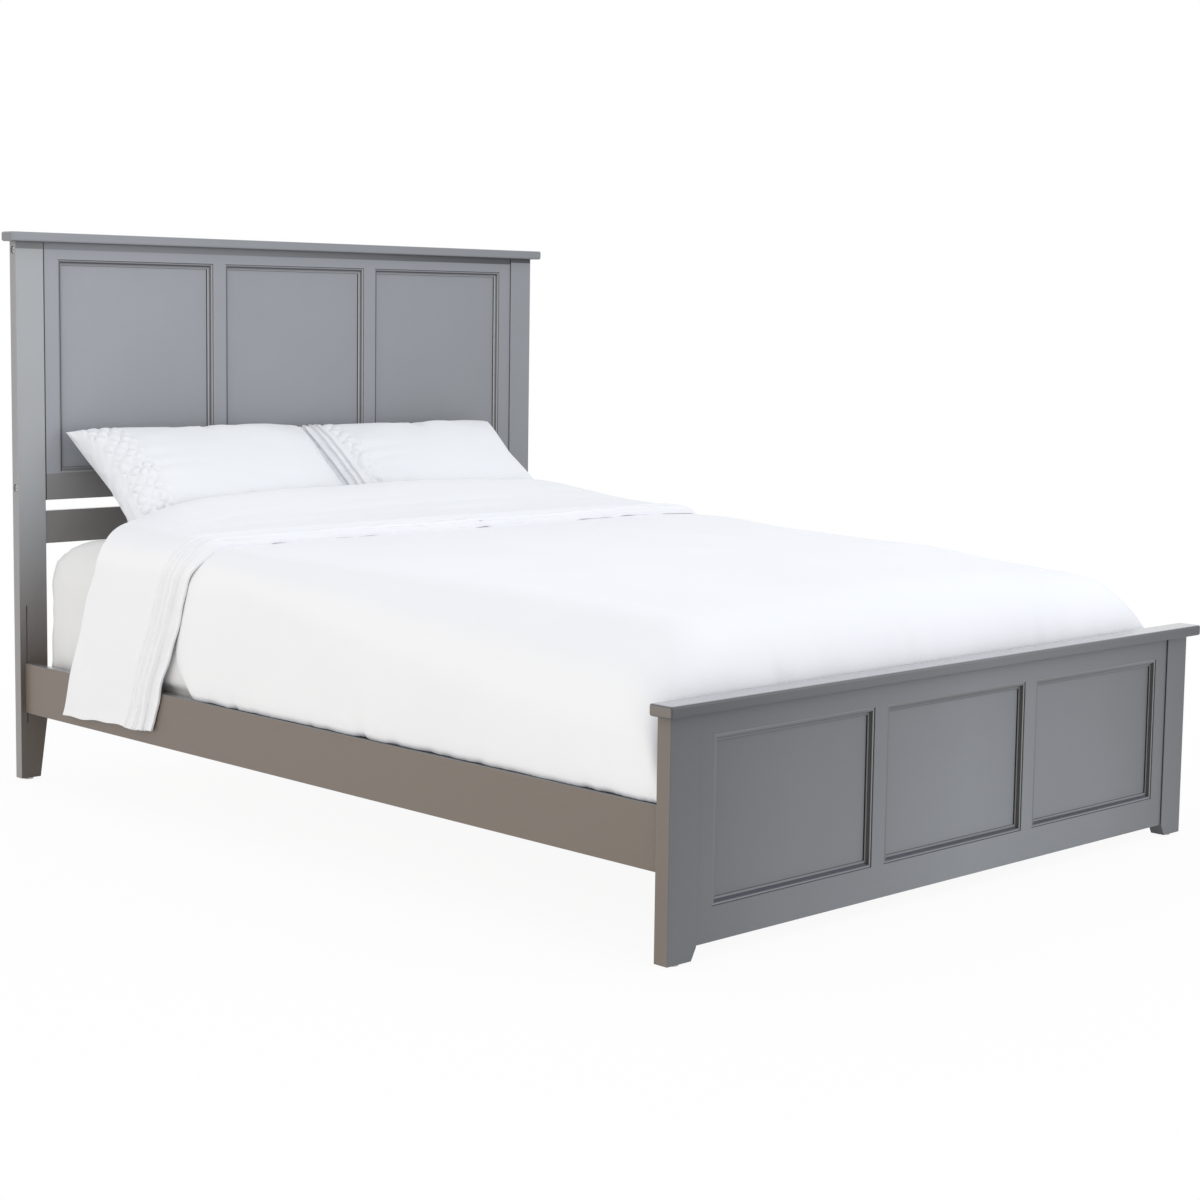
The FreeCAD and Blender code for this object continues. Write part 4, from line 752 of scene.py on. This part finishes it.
def makeTurndown(d):
    # columns of the grid across the fold: close at the borders and over the tucks
    width = d["width"]
    columns = np.concatenate([
        [0, 2, 6, 11, 16], np.linspace(d["tuckFrom"] - 4, d["tuckTo"] + 4, 58),
        np.linspace(d["tuckTo"] + 12, width - 14, 30), [width - 8, width - 3, width],
    ]) / width
    bm = bmesh.new()
    bmesh.ops.create_grid(bm, x_segments=d["across"], y_segments=len(columns) - 1, size=1)
    obj = objectFrom(bm, "quiltFold")
    grid = coordinates(obj.data)
    u = grid[:, 0]
    share = np.interp((grid[:, 1] + 1) / 2, np.linspace(0, 1, len(columns)), columns)
    t = 1 - np.abs(u)
    hem = d["hemFoot"] + (d["hemHead"] - d["hemFoot"]) * share
    hem = hem + 1.6 * np.sin(share * 9 + 0.6) * np.sign(u) + 1.2 * np.sin(share * 23)
    x, z = sectionPath(t, d["halfWidth"], hem, d["top"], d["middle"], d["round"], d["round"], -2, -1.5)
    heights, foots, heads = zip(*d["borders"])
    foot, head = np.interp(z, heights, foots), np.interp(z, heights, heads)
    inward = 1 - smoothStep(np.abs(x), 255, 735)
    foot = foot + (d["borderMiddle"][0] - foot) * inward
    head = head + (d["borderMiddle"][1] - head) * inward
    y = foot + (head - foot) * share
    signed = np.sign(u) * x
    heap = smoothTable(d["heap"], signed, 30)
    z = z + heap * smoothTable(d["heapProfile"], share, 0.05)
    points = np.stack([signed, y, z], axis=1)
    normals = outward(obj, points)
    across = share * width
    # pintucks: narrow sewn ridges side by side, parallel to the foot border
    pitch = (d["tuckTo"] - d["tuckFrom"]) / (d["tucks"] - 1)
    phase = (across - d["tuckFrom"]) / pitch
    inBand = (across > d["tuckFrom"] - pitch / 2) & (across < d["tuckTo"] + pitch / 2)
    nearest = phase - np.round(phase)
    ridge = bell(nearest * pitch, 1.5) * d["tuckHeight"] - bell(nearest * pitch - 3.2, 1.4) * 1.3
    ridge = ridge * inBand * (1 - 0.25 * np.round(phase) / d["tucks"])
    # the stitched hem on both borders
    hemLine = -1.2 * bell(across - 15, 2.2) - 1.2 * bell(across - width + 18, 2.5)
    along = np.where(np.abs(x) > 600, z, 900 - np.abs(x)) * np.sign(u)
    level = np.zeros(len(x))
    ripple = waves(np.stack([along, across, level], 1), (7, 150, 1.0, 21))
    wobble = waves(np.stack([along, across * 0.2, level], 1), (6, 90, 1.1, 22))
    edge = bell(across, 45)
    loose = smoothStep(600 - z, 0, 260)
    # tucks draw the cloth up, so small cross ripples run between them
    gather = waves(np.stack([along, across * 0.5, level], 1), (6, 26, 0.55, 23)) * inBand
    # the tucks open into pleats above the hem, and long creases lie across the bed beside them
    pleats = np.sin(across * 2 * math.pi / 8.6) * 2.0 * (1 - smoothStep(z - hem, 12, 75))
    pleats = pleats * smoothStep(across, 16, 30) * (1 - smoothStep(across, 95, 125))
    creases = waves(np.stack([along * 0.1, across, level], 1), (9, 44, 0.75, 25))
    creases = creases * smoothStep(across, 100, 150) * (0.35 + 0.65 * smoothStep(z, 480, 600))
    lift = ridge + hemLine + ripple * (0.5 + loose) + wobble * edge * 1.3 + gather + pleats + creases
    # the foot border is one thickness of cloth, the rest is filled
    filled = d["thinEdge"] + (1 - d["thinEdge"]) * smoothStep(across, 2, 34)
    sunk = d["thick"] * d["below"] * (1 - filled)
    lift = np.maximum(lift, -0.8) - sunk
    lowered = points - normals * sunk[:, None]
    lift = lift - settle(quilt, lowered, normals, across, filled, d)
    group = obj.vertex_groups.new(name="filled")
    for index, weight in enumerate(filled):
        group.add([index], float(weight), "REPLACE")
    points = points + normals * lift[:, None]
    points[:, 1] += wobble * edge * 2.6
    setCoordinates(obj.data, inMetres(points))
    solid = obj.modifiers.new("thickness", "SOLIDIFY")
    solid.thickness = d["thick"] / 1000
    solid.offset = 1 - 2 * d["below"]
    solid.vertex_group = "filled"
    rounded = obj.modifiers.new("softEdge", "BEVEL")
    rounded.width = 0.0045
    rounded.segments = 3
    rounded.limit_method = "ANGLE"
    rounded.angle_limit = math.radians(60)
    applyModifiers(obj)
    return obj


fold = makeTurndown(turndown)
dress(fold, duvetCotton)
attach(fold, "bedding")
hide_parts("duvet_turndown")
print("stage: turned-down end")


mattress = {
    "edgeTop": 0.095, "baseEdge": 0.02, "corner": 0.048, "voxel": 0.016,
    # from and to where the side bulges, in metres from the footboard, and by how much
    "fillOut": (1.28, 1.66), "bulge": 0.019,
    # the quilt's depth over the filling, and the height from which its foot end presses
    "underQuilt": 0.024, "base": 0.29, "slack": 0.004,
}


def makeMattress(d):
    low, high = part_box("mattress")
    size = high - low
    bm = bmesh.new()
    bmesh.ops.create_cube(bm, size=1)
    bmesh.ops.scale(bm, vec=size, verts=bm.verts)
    bmesh.ops.translate(bm, vec=(low + high) / 2, verts=bm.verts)
    for level, offset, segments in ((high.z, d["edgeTop"], 7), (low.z, d["baseEdge"], 3)):
        rim = [e for e in bm.edges if all(abs(v.co.z - level) < 1e-5 for v in e.verts)]
        bmesh.ops.bevel(bm, geom=rim, offset=offset, segments=segments,
                        affect="EDGES", profile=0.5, material=-1)
    obj = objectFrom(bm, "mattressWithSheet")
    remesh = obj.modifiers.new("remesh", "REMESH")
    remesh.mode = "VOXEL"
    remesh.voxel_size = d["voxel"]
    applyModifiers(obj)
    # round the four upright corners a little
    bm = bmesh.new()
    bm.from_mesh(obj.data)
    corners = [v for v in bm.verts if v.co.z > low.z + 0.04 and (
        min(abs(v.co.x - low.x), abs(v.co.x - high.x)) < d["corner"]
        and min(abs(v.co.y - low.y), abs(v.co.y - high.y)) < d["corner"])]
    for _ in range(3):
        bmesh.ops.smooth_vert(bm, verts=corners, factor=0.5, use_axis_x=True, use_axis_y=True)
    bm.to_mesh(obj.data)
    bm.free()
    puff(obj, {"pressure": 1.5, "frames": 12, "cap": 0.004, "shrink": -0.01, "bending": 0.3})
    points = coordinates(obj.data)
    normals = vertexNormals(obj.data)
    scaled = points * 1000
    # gathers of the fitted sheet at the corners, and slack at the sides
    middle = np.array([(low.x + high.x) / 2, (low.y + high.y) / 2])
    reach = np.abs(points[:, :2] - middle) / np.array([size.x / 2, size.y / 2])
    atCorner = smoothStep(reach[:, 0] + reach[:, 1], 1.72, 1.86)
    turn = np.arctan2(points[:, 1] - middle[1], points[:, 0] - middle[0])
    gather = np.sin(turn * 170 + np.sin(scaled[:, 2] / 40) * 1.2) * atCorner
    under = smoothStep(high.z - points[:, 2], 0.05, 0.2)
    lift = waves(scaled, (8, 300, 0.8, 31)) + gather * (0.5 + 1.1 * under)
    inner = np.clip((points[:, 2] - low.z) / 0.02, 0, 1)
    points = points + normals * (lift * inner / 1000)[:, None]
    # between the fold and the quilt the side fills out over the rail
    start, end = d["fillOut"]
    along = points[:, 1] - footFront
    full = smoothStep(along, start, start + 0.09) * (1 - smoothStep(along, end - 0.09, end))
    full = full * smoothStep(points[:, 2], 0.281, 0.300) * (1 - smoothStep(points[:, 2], 0.42, 0.54))
    full = full * (reach[:, 0] > 0.93)
    points[:, 0] += np.sign(points[:, 0]) * full * d["bulge"]
    peak = high.z + d["slack"]
    points[:, 2] = np.clip(points[:, 2], low.z + 0.0004, peak)
    # where the quilt is drawn down over the foot end the filling gives way under it
    roof = quiltRoof(duvet, points[:, 0] * 1000, along * 1000) / 1000 - d["underQuilt"]
    roof = np.where(along < 1.3, np.minimum(roof, peak), peak)
    share = np.clip((points[:, 2] - d["base"]) / (peak - d["base"]), 0, 1)
    pressed = d["base"] + share * (roof - d["base"])
    points[:, 2] = np.where(points[:, 2] > d["base"], pressed, points[:, 2])
    setCoordinates(obj.data, points)
    smoothShade(obj.data)
    return obj


mattressBody = makeMattress(mattress)
dress(mattressBody, sheetCotton)
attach(mattressBody, "bedding")
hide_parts("mattress")
print("stage: mattress")


pillows = {
    # the ruched band and the pleats are measured from the pillow's left seam,
    # and the other pillow lies on the side that "meets" gives
    "left": {
        "centreX": -356, "width": 652, "rise": 6, "meets": 1, "seed": 41,
        "ruched": (14, 106), "pleats": (),
    },
    "right": {
        "centreX": 299, "width": 640, "rise": 0, "meets": -1, "seed": 57,
        "ruched": (50, 98), "pleats": (2, 15, 31, 45),
    },
    "length": 376, "thick": 118, "lean": 38, "across": 136, "along": 80, "ears": 0.075,
    "crowd": 0.86, "puff": 17, "noseY": 1775, "noseZ": 573, "floor": 567.5, "soft": 14,
}


def makePillow(side, d):
    own = d[side]
    bm = bmesh.new()
    bmesh.ops.create_grid(bm, x_segments=d["across"], y_segments=d["along"], size=1)
    back = bmesh.ops.duplicate(bm, geom=bm.verts[:] + bm.edges[:] + bm.faces[:])["geom"]
    for vert in [item for item in back if isinstance(item, bmesh.types.BMVert)]:
        vert.co.z = -1
    for face in [item for item in back if isinstance(item, bmesh.types.BMFace)]:
        face.normal_flip()
    for vert in bm.verts:
        edge = max(abs(vert.co.x), abs(vert.co.y))
        face = -1 if vert.co.z < -0.5 else 1
        vert.co.z = 0 if edge > 0.9999 else face * 0.5
    bmesh.ops.remove_doubles(bm, verts=bm.verts, dist=1e-5)
    obj = objectFrom(bm, "pillow" + side.title())
    grid = coordinates(obj.data)
    # crowd the grid lines a little towards the seams
    most = math.sin(math.pi / 2 * d["crowd"])
    u, v = (np.sin(grid[:, axis] * math.pi / 2 * d["crowd"]) / most for axis in (0, 1))
    facing = np.sign(grid[:, 2])
    swell = (np.clip(1 - np.abs(u) ** 2.8, 0, 1) * np.clip(1 - np.abs(v) ** 2.4, 0, 1)) ** 0.52
    x = own["width"] / 2 * u * (1 - d["ears"] * (1 - v * v) ** 0.7)
    y = d["length"] / 2 * v * (1 - 0.05 * (1 - u * u))
    z = facing * swell * d["thick"] / 2
    points = np.stack([x, y, z], axis=1)
    setCoordinates(obj.data, points / 1000)
    for label, values in (("u", u), ("v", v), ("face", facing)):
        obj.data.attributes.new(label, "FLOAT", "POINT").data.foreach_set("value", values)
    puff(obj, {"pressure": 3.2, "frames": 18, "cap": 0.022, "shrink": -0.035, "bending": 0.25})
    detail = obj.modifiers.new("detail", "SUBSURF")
    detail.levels = 1
    detail.render_levels = 1
    applyModifiers(obj)
    points = coordinates(obj.data) * 1000
    normals = vertexNormals(obj.data)
    shares = []
    for label in ("u", "v", "face"):
        values = np.zeros(len(points))
        obj.data.attributes[label].data.foreach_get("value", values)
        shares.append(values)
        obj.data.attributes.remove(obj.data.attributes[label])
    u, v, facing = shares
    # the sides where the two pillows meet are pressed straight against each other
    meets = own["meets"]
    seam = np.nonzero(u * meets > 0.998)[0]
    seam = seam[np.argsort(v[seam])]
    reached = np.interp(v, v[seam], points[seam, 0] * meets)
    points[:, 0] += meets * (own["width"] / 2 - reached) * smoothStep(u * meets, 0.1, 1)
    y = points[:, 1]
    fromLeft = own["width"] / 2 * (1 + u)
    front = (facing > 0) * smoothStep(1 - np.abs(v), 0.0, 0.06)
    start, end = own["ruched"]
    band = smoothStep(fromLeft, start, start + 10) * (1 - smoothStep(fromLeft, end - 10, end)) * front
    # ruching: a lattice of little puffs, drawn together where it is stitched
    jitter = waves(np.stack([fromLeft, y, 0 * y], 1), (5, 60, 4.5, own["seed"]))
    a = (fromLeft + y + jitter) / d["puff"]
    b = (fromLeft - y - jitter) / d["puff"]
    lattice = np.abs(np.sin(a * math.pi / 2) * np.sin(b * math.pi / 2)) ** 0.45
    uneven = 0.75 + waves(np.stack([fromLeft, y, 0 * y], 1), (6, 40, 0.3, own["seed"] + 5))
    lift = band * (lattice * 8.5 - 4.4) * uneven
    # each pleat is a sharp crease with the cloth rising away from it
    for place in own["pleats"]:
        offset = fromLeft - place
        lift = lift + front * np.where(offset < 0, 0, 4.5 * bell(offset, 8.0))
        lift = lift - front * 3.0 * bell(offset + 2.2, 2.2)
    # drag lines that fan out of the ruched band
    fan = np.exp(-np.clip(fromLeft - end, 0, 999) / 60) * (fromLeft > end) * front
    lift = lift + fan * 1.8 * np.sin(y / 9.0 + np.sin(y / 31.0) * 2)
    lift = lift + waves(points, (7, 210, 1.3, own["seed"] + 1))
    lift = lift + waves(points, (6, 80, 0.45, own["seed"] + 2))
    # nothing moves at the seam
    lift = lift * smoothStep(1 - np.maximum(np.abs(u), np.abs(v)), 0, 0.02)
    points = points + normals * lift[:, None]
    # lean it back on its lower edge
    lean = math.radians(d["lean"])
    up = points[:, 1] + d["length"] / 2
    placed = np.stack([
        points[:, 0] + own["centreX"],
        d["noseY"] + up * math.cos(lean) - points[:, 2] * math.sin(lean),
        d["noseZ"] + up * math.sin(lean) * (1 + own["rise"] / 230) + points[:, 2] * math.cos(lean),
    ], axis=1)
    # its underside flattens softly where it comes down on the bed
    floor, soft = d["floor"], d["soft"]
    above = placed[:, 2] - floor
    placed[:, 2] = floor + np.where(above > soft, above, soft * np.exp((above - soft) / soft))
    setCoordinates(obj.data, inMetres(placed))
    smoothShade(obj.data)
    return obj


for side in ("left", "right"):
    pillow = makePillow(side, pillows)
    dress(pillow, pillowCotton)
    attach(pillow, "pillow_" + side)
    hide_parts("pillow_" + side)
    print("stage: pillow", side)


studio = {
    "floorSize": 40, "floorColour": (0.86, 0.86, 0.86),
    "world": 0.92, "worldColour": (0.975, 0.986, 1.0),
    # power, size, place, target and colour of each lamp
    "lamps": {
        "topSoftBox": (10, 3.2, (-0.3, -0.35, 3.3), (-0.1, 0.0, 0.5), (0.85, 0.93, 1.0)),
        "sideSoftBox": (24, 3.0, (-4.8, -0.2, 1.5), (0, 0.2, 0.5), (1.0, 0.95, 0.88)),
        "rightSoftBox": (37, 2.4, (3.4, -4.6, 1.6), (0, 0.6, 0.7), (0.93, 0.965, 1.0)),
        "footSoftBox": (14, 2.5, (1.6, -3.4, 3.1), (0, -0.8, 0.5), (0.9, 0.95, 1.0)),
    },
}


def studioFloor(d):
    bm = bmesh.new()
    bmesh.ops.create_grid(bm, x_segments=1, y_segments=1, size=d["floorSize"] / 2)
    floor = objectFrom(bm, "studioFloor")
    g = Graph("studioFloor")
    g.finish(baseColor=d["floorColour"], roughness=0.9)
    # white to the camera and in reflections, with a little of its own shade near the bed
    glow = g.tree.nodes.new("ShaderNodeEmission")
    glow.inputs[0].default_value = (1, 1, 1, 1)
    paths = g.tree.nodes.new("ShaderNodeLightPath")
    seen = Wire(g, paths.outputs["Is Camera Ray"]) + Wire(g, paths.outputs["Is Glossy Ray"])
    seen = seen + Wire(g, paths.outputs["Is Transmission Ray"])
    away = g.node("ShaderNodeVectorMath", {"operation": "LENGTH"}, {0: g.place()}, out="Value")
    share = g.math("MINIMUM", seen, 1.0) * (away.above(1.2, 3.2) * 0.07 + 0.93)
    mixer = g.tree.nodes.new("ShaderNodeMixShader")
    g.tree.links.new(share.socket, mixer.inputs[0])
    g.tree.links.new(g.shader.outputs[0], mixer.inputs[1])
    g.tree.links.new(glow.outputs[0], mixer.inputs[2])
    output = [n for n in g.tree.nodes if n.type == "OUTPUT_MATERIAL"][0]
    g.tree.links.new(mixer.outputs[0], output.inputs[0])
    dress(floor, g.material)


def studioWorld(d):
    # white to the camera and in reflections, softly tinted as a light
    world = bpy.data.worlds.new("studio")
    scene.world = world
    world.use_nodes = True
    tree = world.node_tree
    tree.nodes.clear()
    soft = tree.nodes.new("ShaderNodeBackground")
    soft.inputs[0].default_value = (*d["worldColour"], 1)
    soft.inputs[1].default_value = d["world"]
    white = tree.nodes.new("ShaderNodeBackground")
    white.inputs[0].default_value = (1, 1, 1, 1)
    white.inputs[1].default_value = 1.0
    paths = tree.nodes.new("ShaderNodeLightPath")
    seen = paths.outputs["Is Camera Ray"]
    for ray in ("Is Glossy Ray", "Is Transmission Ray"):
        either = tree.nodes.new("ShaderNodeMath")
        either.operation = "MAXIMUM"
        tree.links.new(seen, either.inputs[0])
        tree.links.new(paths.outputs[ray], either.inputs[1])
        seen = either.outputs[0]
    mixer = tree.nodes.new("ShaderNodeMixShader")
    tree.links.new(seen, mixer.inputs[0])
    tree.links.new(soft.outputs[0], mixer.inputs[1])
    tree.links.new(white.outputs[0], mixer.inputs[2])
    output = tree.nodes.new("ShaderNodeOutputWorld")
    tree.links.new(mixer.outputs[0], output.inputs[0])


def softBox(name, power, size, place, target, colour):
    lamp = bpy.data.lights.new(name, "AREA")
    lamp.shape = "SQUARE"
    lamp.size = size
    lamp.energy = power
    lamp.color = colour
    obj = bpy.data.objects.new(name, lamp)
    scene.collection.objects.link(obj)
    obj.location = place
    obj.rotation_euler = (Vector(target) - Vector(place)).to_track_quat("-Z", "Y").to_euler()


studioFloor(studio)
studioWorld(studio)
for name, (power, size, place, target, colour) in studio["lamps"].items():
    softBox(name, power, size, place, target, colour)

# fitted to the photograph: place in millimetres, angles in degrees,
# focal length, centre and frame in pixels
camera = {
    "place": (-3556.94, -2645.87, 1101.38), "yaw": 44.15, "pitch": -6.095, "roll": 0.777,
    "focal": 2316.91, "centre": (591.08, 561.17), "frame": 1200,
}


def placeCamera(d):
    yaw, pitch, roll = (math.radians(d[k]) for k in ("yaw", "pitch", "roll"))
    ahead = Vector((math.sin(yaw) * math.cos(pitch), math.cos(yaw) * math.cos(pitch), math.sin(pitch)))
    level = Vector((math.cos(yaw), -math.sin(yaw), 0))
    up = level.cross(ahead)
    right = math.cos(roll) * level + math.sin(roll) * up
    top = -math.sin(roll) * level + math.cos(roll) * up
    place = inMetres([d["place"]])[0]
    lens = bpy.data.cameras.new("photoCamera")
    lens.sensor_width = 36
    lens.sensor_fit = "HORIZONTAL"
    lens.lens = 36 * d["focal"] / d["frame"]
    lens.shift_x = (d["frame"] / 2 - d["centre"][0]) / d["frame"]
    lens.shift_y = (d["centre"][1] - d["frame"] / 2) / d["frame"]
    lens.clip_end = 100
    obj = bpy.data.objects.new("photoCamera", lens)
    scene.collection.objects.link(obj)
    columns = Matrix((right, top, -ahead)).transposed()
    obj.matrix_world = Matrix.Translation(place) @ columns.to_4x4()
    scene.camera = obj


placeCamera(camera)
scene.view_settings.view_transform = "Standard"
print("stage: studio and camera")
